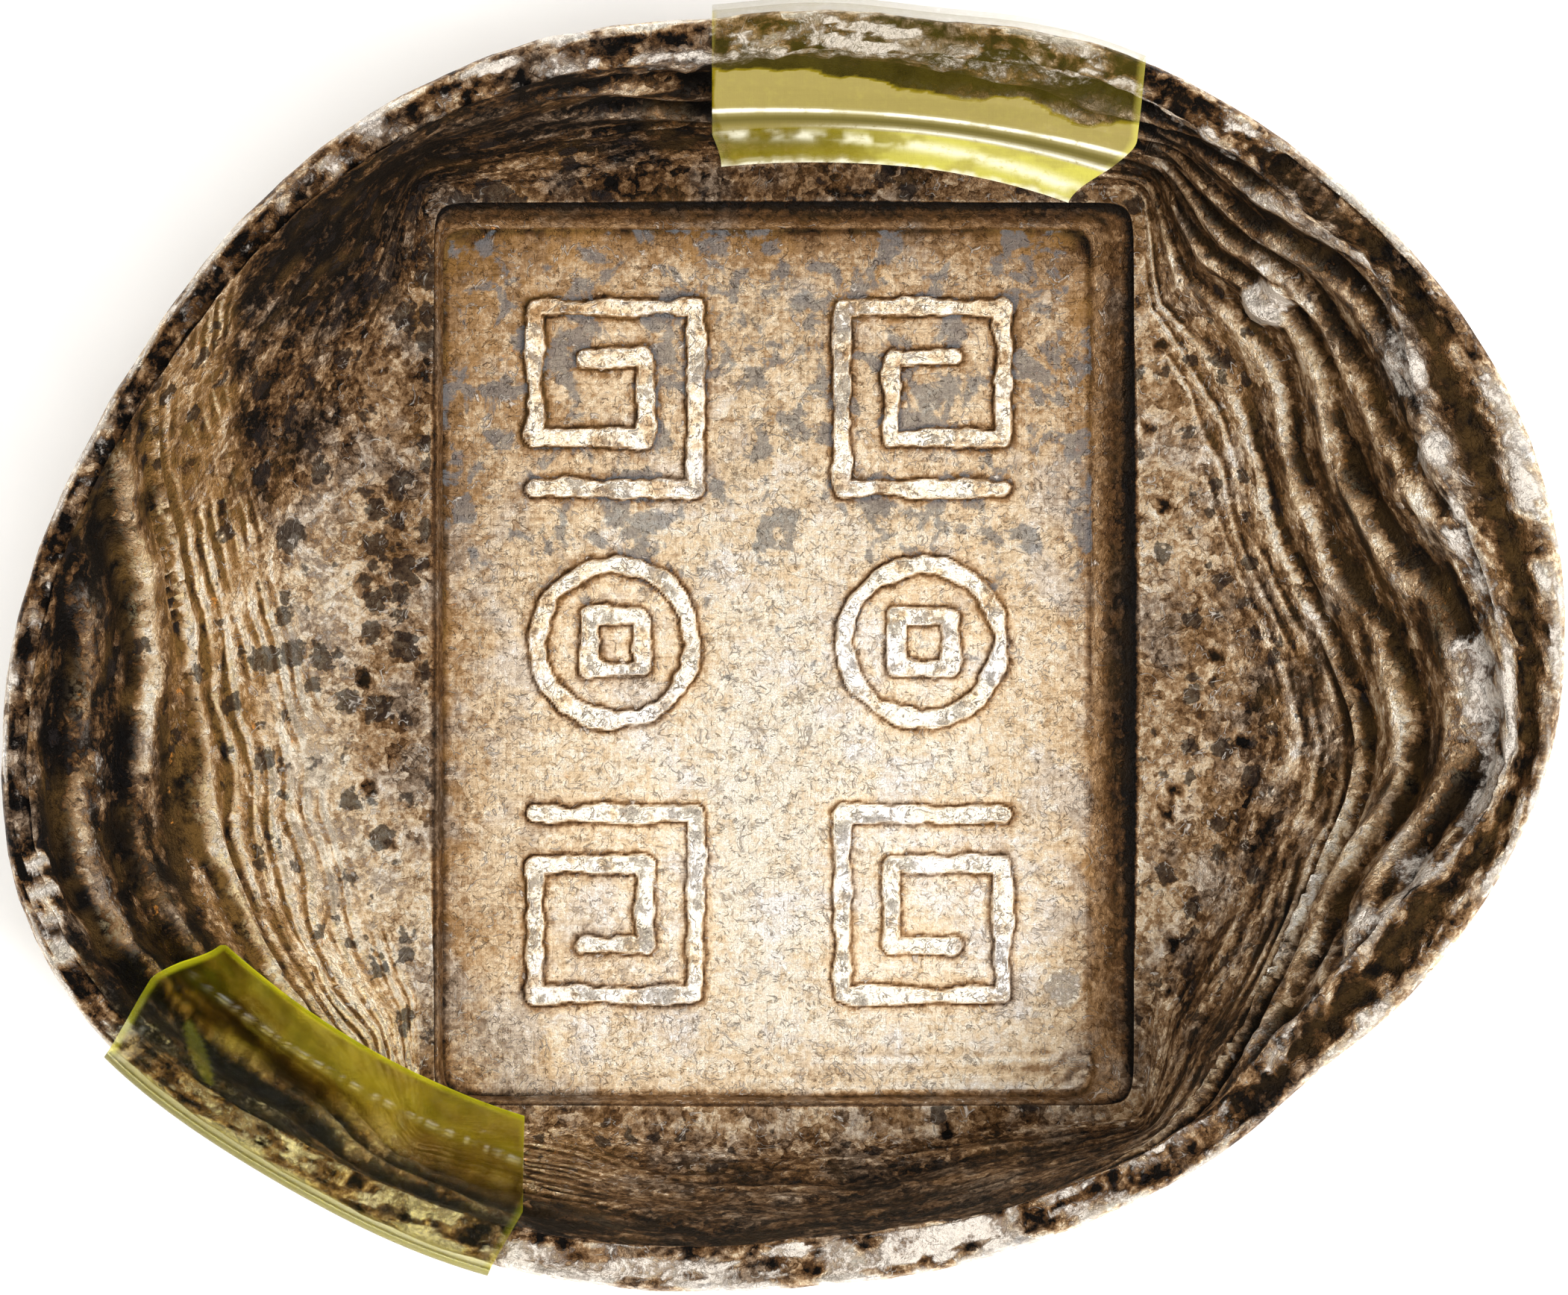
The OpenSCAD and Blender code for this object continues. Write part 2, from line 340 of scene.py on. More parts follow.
@dataclass
class Casting:
    """The silver casting: bowl, sunk panel, lip, outside and base. Sizes are in millimetres."""

    rim_length: float = 60.4
    rim_width: float = 49.4
    rim_turn: float = 11.0
    rim_height: float = 20.0
    end_rise: float = 0.6
    bulge_depth: float = 0.95
    lip_width: float = 1.0
    lip_front: float = 0.9
    lip_back: float = 0.7
    lip_double: float = 1.7
    valley_depth: float = 0.9
    ridge_sway: float = 1.1
    lip_round: float = 0.7
    lip_drop: float = 0.15
    valley_place: float = 0.45
    ridge_place: float = 0.75
    base_length: float = 34.0
    base_width: float = 25.0
    floor_height: float = 8.7
    floor_side: float = 2.6
    floor_end: float = 1.3
    corner_strip: float = 0.7
    wall_curve: float = 1.8
    panel_width: float = 27.6
    panel_length: float = 35.6
    panel_shift: float = 0.25
    panel_depth: float = 1.2
    panel_slope_right: float = 1.65
    panel_slope_back: float = 1.0
    panel_slope_steep: float = 0.28
    panel_sharpness: float = 40.0
    floor_sharpness: float = 3.0
    panel_columns: int = 96
    panel_rows: int = 128
    stroke_height: float = 0.34
    stroke_margin: float = 0.75
    ripple_height: float = 0.8
    ripple_count: int = 3
    ripple_begin: float = 0.4
    ripple_start: float = 0.5
    ripple_top: float = 0.8
    ripple_end: float = 0.93
    ripple_sway: float = 0.3
    fine_height: float = 0.24
    fine_left: float = 0.055
    fine_right: float = 0.07
    sway_waves: tuple[Sides, ...] = ((4, 220, 0, 1.0), (9, -160, 50, 0.6))
    step_lines: tuple[tuple[float, float], ...] = ((-16.3, 0.5), (-16.8, 3.0), (-17.2, -3.0))
    step_height: float = 0.11
    outer_lip: float = 0.6
    outer_relief: float = 0.06
    seat_relief: float = 0.02
    clip_half_turn: float = 28.0
    hollow_scale: float = 0.06
    hollow_tone: float = 0.3
    ornament: Ornament = field(default_factory=Ornament)
    bulges: Lobes = (
        (203, 15, 1.0), (227, 12, -0.2), (161, 20, -0.9), (122, 26, 0.5), (96, 10, -0.5),
        (77, 10, -0.55), (36, 26, -0.8), (349, 14, 0.4), (321, 7, -0.4), (270, 12, -0.15),
    )
    swings: Lobes = ((15, 9, 1.0), (349, 8, -1.0), (333, 9, 0.4), (32, 6, -0.6))
    lumps: tuple[Lump, ...] = (
        Lump(18.9, 13.5, 0.95, 0.5, 0.7), Lump(-28.7, -8.2, 0.5, 0.25, 0.62),
        Lump(-28.5, -9.4, 0.55, 0.3, 0.66), Lump(-28.1, -10.5, 0.45, 0.25, 0.62),
        Lump(-27.7, -11.8, 0.55, 0.25, 0.6), Lump(11.1, -13.5, 0.8, 0.06, 0.5),
    )

    @property
    def panel_height(self) -> float:
        """Height of the panel's floor."""
        return self.floor_height - self.panel_depth

    def swells(self, turn: float, lobes: Lobes) -> float:
        """Sum of swells, each a direction, an angular spread and a share."""
        return sum(share * swell(turn, middle, spread) for middle, spread, share in lobes)

    def rim_radius(self, turn: float) -> float:
        """Radius of the rim's outline in a direction."""
        plain = oval(turn - self.rim_turn, self.rim_length, self.rim_width)
        return plain + self.bulge_depth * self.swells(turn, self.bulges)

    def rim_level(self, turn: float) -> float:
        """Height of the rim in a direction."""
        return self.rim_height + self.end_rise / 2.0 * math.cos(math.radians(2.0 * (turn - self.rim_turn)))

    def double_lip(self, turn: float) -> float:
        """Share of the right end's double ridge in a direction."""
        return DOUBLE_LIP.share(turn)

    def lip_band(self, turn: float) -> float:
        """Width of the lip in a direction."""
        plain = self.lip_width + self.lip_front * WIDE_FRONT.share(turn)
        plain += self.lip_back * WIDE_BACK.share(turn)
        sway = self.ridge_sway * self.swells(turn, self.swings)
        return plain + self.lip_double * self.double_lip(turn) + sway

    def box_radius(self, turn: float, sides: Sides, sharpness: float) -> float:
        """Radius of a rounded box in a direction.

        Args:
            turn: Direction in degrees.
            sides: Distances of its left, right, front and back sides.
            sharpness: Power that sets how sharp its corners are.

        Returns:
            Distance from the middle to its outline.
        """
        left, right, front, back = sides
        cosine = math.cos(math.radians(turn))
        sine = math.sin(math.radians(turn))
        x = abs(cosine) / (right if cosine > 0.0 else left)
        y = abs(sine) / (back if sine > 0.0 else front)
        return 1.0 / (x**sharpness + y**sharpness) ** (1.0 / sharpness)

    def panel_sides(self) -> Sides:
        """Distances of the panel floor's left, right, front and back edges from the middle."""
        half_width = self.panel_width / 2.0
        half_length = self.panel_length / 2.0
        return (
            half_width - self.panel_slope_steep,
            half_width - self.panel_slope_right,
            half_length + self.panel_shift - self.panel_slope_steep,
            half_length - self.panel_shift - self.panel_slope_back,
        )

    def brim_sides(self, side: float = 0.0, end: float = 0.0) -> Sides:
        """Distances of the panel's brim from the middle, moved outwards by a side and an end strip."""
        half_width = self.panel_width / 2.0 + side
        half_length = self.panel_length / 2.0 + end
        return (half_width, half_width, half_length + self.panel_shift, half_length - self.panel_shift)

    def panel_radius(self, turn: float) -> float:
        """Radius of the panel floor's outline."""
        return self.box_radius(turn, self.panel_sides(), self.panel_sharpness)

    def brim_radius(self, turn: float) -> float:
        """Radius of the panel's brim."""
        return self.box_radius(turn, self.brim_sides(), self.panel_sharpness)

    def floor_radius(self, turn: float) -> float:
        """Radius of the bowl's flat floor."""
        strip = self.box_radius(turn, self.brim_sides(self.floor_side, self.floor_end), self.floor_sharpness)
        return max(self.brim_radius(turn) + self.corner_strip, strip)

    def base_radius(self, turn: float) -> float:
        """Radius of the flat base."""
        return oval(turn - self.rim_turn, self.base_length, self.base_width)

    def lip_level(self, turn: float, across: float) -> float:
        """Height of the lip's plain section.

        Args:
            turn: Direction in degrees.
            across: Share of the way from the inner crest to the outline.

        Returns:
            Height above the base.
        """
        level = self.rim_level(turn)
        ridge_level = level - self.lip_drop
        valley = ridge_level - self.valley_depth * self.double_lip(turn)
        if across < self.valley_place:
            return mix(level, valley, smooth(0.0, self.valley_place, across))
        if across < self.ridge_place:
            return mix(valley, ridge_level, smooth(self.valley_place, self.ridge_place, across))
        past = (across - self.ridge_place) / (1.0 - self.ridge_place)
        return ridge_level - (self.lip_round - self.lip_drop) * (1.0 - math.sqrt(max(1.0 - past * past, 0.0)))

    def section(self, zone: Zone, share: float, turn: float) -> tuple[float, float]:
        """Plain half section of the casting.

        Args:
            zone: Part of the skin.
            share: Share of the way through that part, going outwards and down.
            turn: Direction in degrees.

        Returns:
            Radius and height.
        """
        outline = self.rim_radius(turn)
        crest = outline - self.lip_band(turn)
        edge = self.rim_level(turn) - self.lip_round
        if zone is Zone.PANEL_WALL:
            radius = mix(self.panel_radius(turn), self.brim_radius(turn), share)
            return radius, self.panel_height + self.panel_depth * share
        if zone is Zone.FLOOR:
            return mix(self.brim_radius(turn), self.floor_radius(turn), share), self.floor_height
        if zone is Zone.WALL:
            climb = (self.rim_level(turn) - self.floor_height) * share**self.wall_curve
            return mix(self.floor_radius(turn), crest, share), self.floor_height + climb
        if zone is Zone.LIP:
            return mix(crest, outline, share), self.lip_level(turn, share)
        base = self.base_radius(turn)
        if zone is Zone.SIDE:
            swing = math.radians(90.0 * share)
            return base + (outline - base) * math.cos(swing), edge * (1.0 - math.sin(swing))
        return base * (1.0 - share), 0.0

    def rings(self) -> list[tuple[Zone, float]]:
        """Rings of the skin in order, from the panel's edge outwards, down and in to the base's middle."""
        counts = {
            Zone.PANEL_WALL: 7, Zone.FLOOR: 8, Zone.WALL: 62, Zone.LIP: 13, Zone.SIDE: 14, Zone.BASE: 13,
        }
        return [(zone, i / count) for zone, count in counts.items() for i in range(1, count + 1)]

    def panel_spot(self, place: Vector) -> Spot:
        """Relief and patina of the panel's floor, with painted light and shade."""
        left, right, front, back = self.panel_sides()
        x, y = place.x, place.y
        from_edge = min(x + left, right - x, y + front)
        from_back = back - y
        wobble = 0.16 * grain(place, 1.3, 3) + 0.05 * grain(place, 0.45, 2)
        gap = self.ornament.gap(x, y) + wobble
        worn = smooth(-0.75, -0.1, grain(place + Vector((40.0, 0.0, 0.0)), 2.6, 3) + 0.25)
        raised = smooth(0.04, -0.06, gap) * mix(0.55, 1.0, worn)
        height = self.stroke_height * raised + 0.07 * raised * grain(place, 0.6, 2)
        height += 0.07 * grain(place, 5.0, 2) + 0.03 * grain(place, 0.9, 3) - 0.05 * bell(gap, 0.2, 0.12)
        wavy = y + 0.05 * grain(place, 3.0, 2)
        for line, start in self.step_lines:
            step = self.step_height * smooth(line + 0.07, line - 0.07, wavy)
            height += step * smooth(start, start + 1.5, x)
        # Painted light and shade: the panel is made lighter round its lower middle, as in a pool of light,
        # and darker towards the back.
        painted_light = math.exp(-((x - 1.0) / 9.0) ** 2 - ((y + 8.0) / 9.0) ** 2)
        tarnish = 0.17 + 0.14 * smooth(-2.0, 16.0, y) - 0.14 * painted_light
        # Painted shade in the recess: the panel darkens along each of its edges, most at the back and the
        # left.
        tarnish += 0.36 * math.exp(-max(x + left, 0.0) / 2.4) + 0.3 * math.exp(-max(right - x, 0.0) / 1.5)
        tarnish += 0.2 * math.exp(-max(y + front, 0.0) / 0.9) + 0.4 * math.exp(-max(from_back, 0.0) / 1.2)
        stain = smooth(0.05, 0.5, grain(place + Vector((0.0, 60.0, 0.0)), 1.1, 3))
        # Painted shade: a thin dark line and a soft dark halo round the foot of each stroke; the stroke tops
        # are made lighter, with stains.
        tarnish += 0.36 * bell(gap, 0.09, 0.07) + 0.13 * bell(gap, 0.1, 0.45) + raised * (0.3 * stain - 0.24)
        spot = Spot(height, tarnish)
        rust = smooth(-0.05, 0.5, grain(place, 3.2, 3))
        corner = math.exp(-((x + 12.0) / 7.0) ** 2 - ((y - 15.0) / 9.0) ** 2)
        flaky = smooth(0.0, 0.5, grain(place + Vector((0.0, 0.0, 20.0)), 1.4, 4))
        spot.crust = 0.2 * raised + flaky * mix(0.12, 0.26, math.exp(-((x + 1.0) / 6.0) ** 2))
        margin = math.exp(-max(min(from_edge, from_back), 0.0) / 3.0)
        spot.gild = rust * (0.25 + 0.75 * margin) + 0.5 * corner + 0.3 * smooth(2.0, 16.0, y)
        spot.slate = mix(0.2, 0.95, smooth(-6.0, 6.0, y)) * (1.0 - 0.8 * raised)
        spot.brushed = 1.0 - 0.7 * raised
        spot.mottle = mix(0.5, 0.45, raised)
        return spot

    def panel_wall_spot(self, place: Vector, turn: float, climb: float) -> Spot:
        """Relief, stains and painted shade of the panel's sloping wall.

        Args:
            place: Point on the wall.
            turn: Its direction in degrees.
            climb: Share of the way up the wall.

        Returns:
            The relief there, with painted shade that is darkest in the groove along the brim.
        """
        right = bell(turn_gap(turn, 0.0), 0.0, 60.0) * smooth(52.0, 49.0, abs(turn_gap(turn, 0.0)))
        back = smooth(50.0, 54.0, turn) * smooth(130.0, 126.0, turn)
        # Painted shade on the recess walls: the right and back walls darken as they climb, and the other
        # walls keep a steady darker tone.
        steep = mix(0.6, 0.72, STEEP_LEFT.share(turn))
        gentle = mix(0.5, 1.05, smooth(0.0, 0.75, climb))
        shaded = mix(0.52, 0.95, smooth(0.0, 0.7, climb))
        groove = smooth(0.75, 0.95, climb)
        height = 0.03 * grain(place, 1.2, 3) - 0.12 * groove
        # The groove is cut into the relief and also painted darkest with shade.
        tarnish = mix(mix(steep, gentle, right), shaded, back) + 0.26 * groove
        return Spot(height, tarnish, 0.3 * (1.0 - climb), 0.1, mottle=0.45)

    def sway(self, turn: float, climb: float) -> float:
        """How far the ripples sway in a direction, at a share of the way up the wall."""
        return self.ripple_sway * sum(
            share * math.sin(math.radians(count * turn + shift * climb + offset))
            for count, shift, offset, share in self.sway_waves
        )

    def ripples(self, turn: float, climb: float) -> Ripple:
        """Flow ripples of the bowl: broad ones below the rim and fine ones near the floor.

        Args:
            turn: Direction in degrees.
            climb: Share of the way up the wall, 0 on the floor.

        Returns:
            The ripples there.
        """
        fall = 0.00035 * max(196.0 - turn, 0.0) ** 2 + 0.0001 * max(turn - 200.0, 0.0) ** 2
        inner_edge = 0.13 - 0.13 * smooth(203.0, 218.0, turn)
        rise = climb - fall
        drift = climb + 0.0085 * turn_gap(turn, 0.0)
        left = LEFT_RIPPLES.share(turn)
        right = RIGHT_RIPPLES.share(turn)
        back = BACK_RIPPLES.share(turn)
        shift = self.sway(turn, climb) + 0.3 * flow(turn, climb, 3.5, 3.0, 3.0)
        wander = 0.9 * flow(turn, climb, 1.8, 2.2, 23.0) + 0.4 * flow(turn, climb, 6.5, 5.0, 8.0, 2)
        broken = smooth(-0.45, 0.3, flow(turn, climb, 5.0, 9.0, 14.0, 3))
        grown = self.ripple_height * smooth(0.0, self.ripple_top, climb) * smooth(1.0, self.ripple_end, climb)
        found = Ripple()
        # The last value of each row says how strongly the ripples are gilded and lit with painted gold
        # highlights, most on the left end.
        for share, place, fine, low, high, golden in (
            (right, drift, self.fine_right, 0.14, 0.45, 0.2 * smooth(0.9, 0.6, climb)),
            (left, rise, self.fine_left, inner_edge - 0.05, inner_edge + 0.1, 1.25 * smooth(0.7, 0.45, rise)),
            (back, climb, self.fine_right, 0.5, 0.62, 0.0),
        ):
            past = place - self.ripple_start
            broad = past > 0.0
            spacing = (1.0 - self.ripple_start) / self.ripple_count if broad else fine
            phase = past / spacing + shift + (0.0 if broad else wander * smooth(0.0, -0.1, past))
            show = share * smooth(low, high, place) * smooth(1.02, 0.95, climb)
            main = grown * share * smooth(self.ripple_begin, self.ripple_start, place)
            minor = self.fine_height * show * smooth(0.05, -0.05, past)
            found.height += (fold(phase) - 0.5) * (main * mix(0.75, 1.1, broken) + minor * broken)
            if show > found.show:
                found.phase = phase
                found.show = show
                found.golden = golden * show
        found.show *= mix(0.15, 1.0, broken)
        return found

    def bowl_spot(self, place: Vector, turn: float, climb: float) -> Spot:
        """Relief and patina of the bowl's floor and walls, with painted highlights on the gilded ripples and
        a painted shadow beneath the lower clip.

        Args:
            place: Point on the bowl.
            turn: Its direction in degrees.
            climb: Share of the way up the wall, 0 on the floor.

        Returns:
            The relief and patina there.
        """
        ripple = self.ripples(turn, climb)
        show = ripple.show
        left = LEFT_END.share(turn)
        back = BACK_WALL.share(turn)
        front = FRONT_WALL.share(turn)
        double = self.double_lip(turn)
        along = flow(turn, climb, 2.9, 8.0, 2.0, 4)
        down = flow(turn, climb, 23.0, 1.3, 7.0)
        drip = left * smooth(0.5, 0.75, climb)
        hole = pit(place, 1.6, 0.3, 0.22) * (1.0 - smooth(0.1, 0.4, climb))
        outer = smooth(0.4, 0.9, climb)
        height = ripple.height + 0.2 * along * (1.0 - show) * smooth(0.02, 0.3, climb) + 0.12 * down * drip
        height += mix(0.06, 0.12, outer) * grain(place, 2.4, 2) + 0.03 * grain(place, 0.75, 3) - 0.16 * hole
        upper_left = UPPER_LEFT.share(turn)
        from_middle = math.hypot(place.x, place.y)
        bank = LEFT_BANK.share(turn) * smooth(0.5, 0.2, climb) * smooth(15.5, 18.5, from_middle)
        floor_tone = 0.51 + 0.1 * left + 0.02 * upper_left + 0.24 * back + 0.05 * front
        wall_tone = 0.8 + 0.17 * back - 0.03 * front + 0.08 * left * smooth(0.4, 0.65, climb)
        patch = flow(turn, climb, 3.4, 3.0, 30.0)
        streak = flow(turn, climb, 7.0, 17.0, 50.0, 4)
        tarnish = mix(floor_tone, wall_tone, smooth(0.05, 0.45, climb)) + 0.10 * smooth(0.6, 0.9, climb)
        tarnish += 0.3 * hole - 0.14 * along * (1.0 - show) - 0.29 * bank
        # Painted shadow of the lower clip on the wall beneath it, added to the tarnish on the next line.
        clip_shadow = CLIP_SHADOW.share(turn) * smooth(0.3, 0.6, climb)
        # Painted highlight: the gilded ripples are made lighter.
        tarnish += 0.22 * clip_shadow - 0.22 * ripple.golden - 0.09 * double * smooth(0.05, 0.4, climb)
        calm = (1.0 - 0.6 * upper_left) * (1.0 - 0.75 * front)
        tarnish -= (0.2 * patch + 0.46 * streak * calm) * smooth(0.1, 0.35, climb)
        tarnish -= 0.2 * double * show * outer * (0.7 - fold(ripple.phase))
        spot = Spot(height, tarnish, flow=ripple.phase)
        spot.ripple = show * mix(1.05, 0.48, double) * (1.0 - 0.6 * back) * (1.0 - 0.4 * drip)
        spot.mottle = 1.0
        spot.gild = ripple.golden + 0.3 * smooth(0.0, 0.7, grain(place, 3.0, 3)) + 0.12 * double * outer
        spot.gild += 0.4 * drip * smooth(0.0, 0.5, grain(place, 1.5, 3))
        spot.slate = mix(0.62, 0.25, smooth(0.2, 0.7, climb)) + 0.45 * upper_left
        lump = noise.turbulence(place / 1.7, 3, False)
        waxy = 0.15 * grain(place, 1.6, 2)
        near_lip = double * smooth(0.9, 0.97, climb + waxy)
        near_lip += 0.8 * BACK_CREST.share(turn) * smooth(0.84, 0.97, climb)
        frosty = outer * show * smooth(0.5, 0.9, fold(ripple.phase)) * smooth(-0.3, 0.2, grain(place, 2.8, 3))
        spot.height += near_lip * (0.05 + 0.6 * (lump - 0.4))
        frosty = max(frosty, 0.6 * outer * double * smooth(0.0, 0.5, streak))
        frosty *= 0.64 - 0.2 * left - 0.2 * double
        spot.crust = max(frosty, mix(0.7, 1.1, lump) * near_lip, 0.08 * (1.0 - climb), 0.34 * bank)
        spot.tarnish -= 0.2 * spot.crust
        return spot

    def lip_spot(self, place: Vector, turn: float, across: float) -> Spot:
        """Relief and patina of the crusty lip, with a painted highlight along its outer edge.

        Args:
            place: Point on the lip.
            turn: Its direction in degrees.
            across: Share of the way from the inner crest to the outline.

        Returns:
            The relief and patina there.
        """
        double = self.double_lip(turn)
        lump = noise.turbulence(place / 1.7, 3, False)
        small = grain(place, 0.8, 3)
        inner = bell(across, 0.0, 0.26)
        outer = bell(across, 0.82, 0.22)
        high = mix(1.0, max(inner, outer), double)
        hole = pit(place, 1.5, 0.36, 0.18)
        rounding = mix(1.0, 0.12, smooth(0.6, 0.9, across))
        height = (0.55 * (lump - 0.45) * high + 0.15 * inner * double + 0.08 * small - 0.25 * hole) * rounding
        patchy = grain(place + Vector((3.0, 0.0, 0.0)), 4.0, 2)
        scorched = smooth(-0.05, 0.35, patchy) * smooth(0.3, 0.55, across)
        scorched *= sum(weight * arc.share(turn) for arc, weight in SCORCHES)
        ridge = flow(turn, across, 13.0, 3.0, 60.0, 3)
        cover = smooth(-0.3, 0.15, ridge + 0.5 * grain(place, 1.2, 3))
        cover = max(cover * (1.0 - 0.1 * double), inner * double)
        shy = 0.95 - 0.35 * LEFT_LIP.share(turn) + 0.45 * FRONT_LIP.share(turn)
        shy += 0.4 * BACK_LIP.share(turn) + 0.5 * double
        pale = cover * high * mix(0.5, 1.0, smooth(0.2, 0.5, lump)) * (1.0 - hole)
        pale = max(pale - 0.9 * scorched, 0.0) * shy
        # Painted highlight along the outer edge, partly crust: a broken pale line just inside the outline.
        outline = bell(across, 0.88, 0.12) * smooth(-0.45, 0.1, ridge + 0.3 * small)
        pale = max(pale, 0.75 * outline * (1.0 - 0.6 * scorched))
        bleached = 0.2 * FRONT_LIP.share(turn) + 0.14 * BACK_LIP.share(turn) + 0.24 * double
        channel = double * bell(across, 0.42, 0.2)
        pale *= 1.0 - 0.7 * channel
        tarnish = 0.86 - bleached - 0.3 * pale + 0.2 * hole + 0.3 * scorched - 0.2 * ridge + 0.34 * channel
        # Painted highlight, partly worn silver: the metal is lighter along the outer edge, except at the
        # right end.
        tarnish -= 0.45 * bell(across, 0.85, 0.12) * smooth(-0.3, 0.3, ridge) * (1.0 - double)
        return Spot(height, tarnish, 0.4 * (1.0 - high), 0.3, min(0.92 * pale, 1.1), mottle=0.9)

    def side_spot(self, place: Vector, turn: float, down: float) -> Spot:
        """Relief and patina of the outside.

        Args:
            place: Point on the outside.
            turn: Its direction in degrees.
            down: Share of the way from the rim to the base.

        Returns:
            The relief and patina there.
        """
        bands = grain(Vector((turn * 0.035, down * 12.0, 5.0)), 1.0, 3)
        height = 0.12 * bands + 0.1 * grain(place, 3.2, 2) - 0.12
        tarnish = 0.6 - 0.14 * bands - 0.06 * smooth(0.5, 0.9, down)
        spot = Spot(height * smooth(0.0, 0.25, down), tarnish, 0.0, 0.55, mottle=0.4)
        spot.crust = 0.5 * smooth(0.15, 0.0, down) * smooth(0.3, 0.6, noise.turbulence(place / 1.5, 3, False))
        return spot

    def base_spot(self, place: Vector) -> Spot:
        """Relief and patina of the flat base, which is full of gas pits."""
        large = pit(place, 5.4, 0.42, 0.6)
        height = -0.6 * large - 0.05 * abs(grain(place, 2.5, 3))
        return Spot(height, 0.42 + 0.25 * large, 0.0, 0.85, mottle=0.4)

    def spot(self, zone: Zone, share: float, turn: float, place: Vector) -> Spot:
        """Relief and patina at one point.

        Args:
            zone: Part of the skin.
            share: Share of the way through that part.
            turn: Direction in degrees, 0 to 360.
            place: The point itself.

        Returns:
            The relief and patina there, with any lump on it.
        """
        if zone is Zone.PANEL:
            found = self.panel_spot(place)
        elif zone is Zone.PANEL_WALL:
            found = self.panel_wall_spot(place, turn, share)
        elif zone in (Zone.FLOOR, Zone.WALL):
            found = self.bowl_spot(place, turn, share if zone is Zone.WALL else 0.0)
        elif zone is Zone.LIP:
            found = self.lip_spot(place, turn, share)
        elif zone is Zone.SIDE:
            found = self.side_spot(place, turn, share)
        else:
            found = self.base_spot(place)
        if zone in (Zone.PANEL, Zone.FLOOR, Zone.WALL, Zone.LIP):
            for lump in self.lumps:
                near = math.hypot(place.x - lump.x, place.y - lump.y) / lump.radius
                if near < 1.0:
                    cap = math.sqrt(1.0 - near * near)
                    found.height += lump.height * cap
                    found.crust = max(found.crust, lump.crust * smooth(0.0, 0.5, cap))
                    found.tarnish = mix(found.tarnish, 0.15, smooth(0.0, 0.5, cap))
        return found

    def panel_place(self, across: float, along: float) -> Vector:
        """Place on the panel's floor.

        Args:
            across: -1 to 1 over the panel's width.
            along: -1 to 1 over the panel's length.

        Returns:
            The point, with the panel's corners rounded.
        """
        left, right, front, back = self.panel_sides()
        x = across * (right if across > 0.0 else left)
        y = along * (back if along > 0.0 else front)
        edge = max(abs(across), abs(along))
        if edge < 1e-6:
            return Vector((0.0, 0.0, self.panel_height))
        turn = math.degrees(math.atan2(y, x))
        ratio = self.panel_radius(turn) / (math.hypot(x, y) / edge)
        pull = 1.0 + (ratio - 1.0) * edge**6
        return Vector((x * pull, y * pull, self.panel_height))

    def skin(self) -> bmesh.types.BMesh:
        """Plain closed skin of the casting, with each vertex's zone, share and direction in layers."""
        skin = bmesh.new()
        zones = skin.verts.layers.int.new("zone")
        shares = skin.verts.layers.float.new("share")
        turns = skin.verts.layers.float.new("turn")
        bmesh.ops.create_grid(skin, x_segments=self.panel_columns, y_segments=self.panel_rows, size=1.0)
        for vert in skin.verts:
            vert.co = self.panel_place(vert.co.x, vert.co.y)
            vert[turns] = math.degrees(math.atan2(vert.co.y, vert.co.x)) % 360.0
        loop = [edge for edge in skin.edges if edge.is_boundary]
        verts: list[bmesh.types.BMVert] = []
        for zone, share in self.rings():
            grown = bmesh.ops.extrude_edge_only(skin, edges=loop)["geom"]
            verts = [part for part in grown if isinstance(part, bmesh.types.BMVert)]
            loop = [part for part in grown if isinstance(part, bmesh.types.BMEdge) and part.is_boundary]
            for vert in verts:
                radius, height = self.section(zone, share, vert[turns])
                angle = math.radians(vert[turns])
                vert.co = (radius * math.cos(angle), radius * math.sin(angle), height)
                vert[zones] = zone.value
                vert[shares] = share
        bmesh.ops.pointmerge(skin, verts=verts, merge_co=(0.0, 0.0, 0.0))
        self.refine(skin, zones)
        bmesh.ops.recalc_face_normals(skin, faces=skin.faces)
        return skin

    def refine(self, skin: bmesh.types.BMesh, zones: bmesh.types.BMLayerItem) -> None:
        """Give the panel a finer mesh around the raised strokes."""
        edges = set()
        for face in skin.faces:
            if any(vert[zones] != Zone.PANEL.value for vert in face.verts):
                continue
            middle = face.calc_center_median()
            if abs(self.ornament.gap(middle.x, middle.y)) < self.stroke_margin / 2.0:
                edges.update(face.edges)
        bmesh.ops.subdivide_edges(skin, edges=list(edges), cuts=2, use_grid_fill=True)

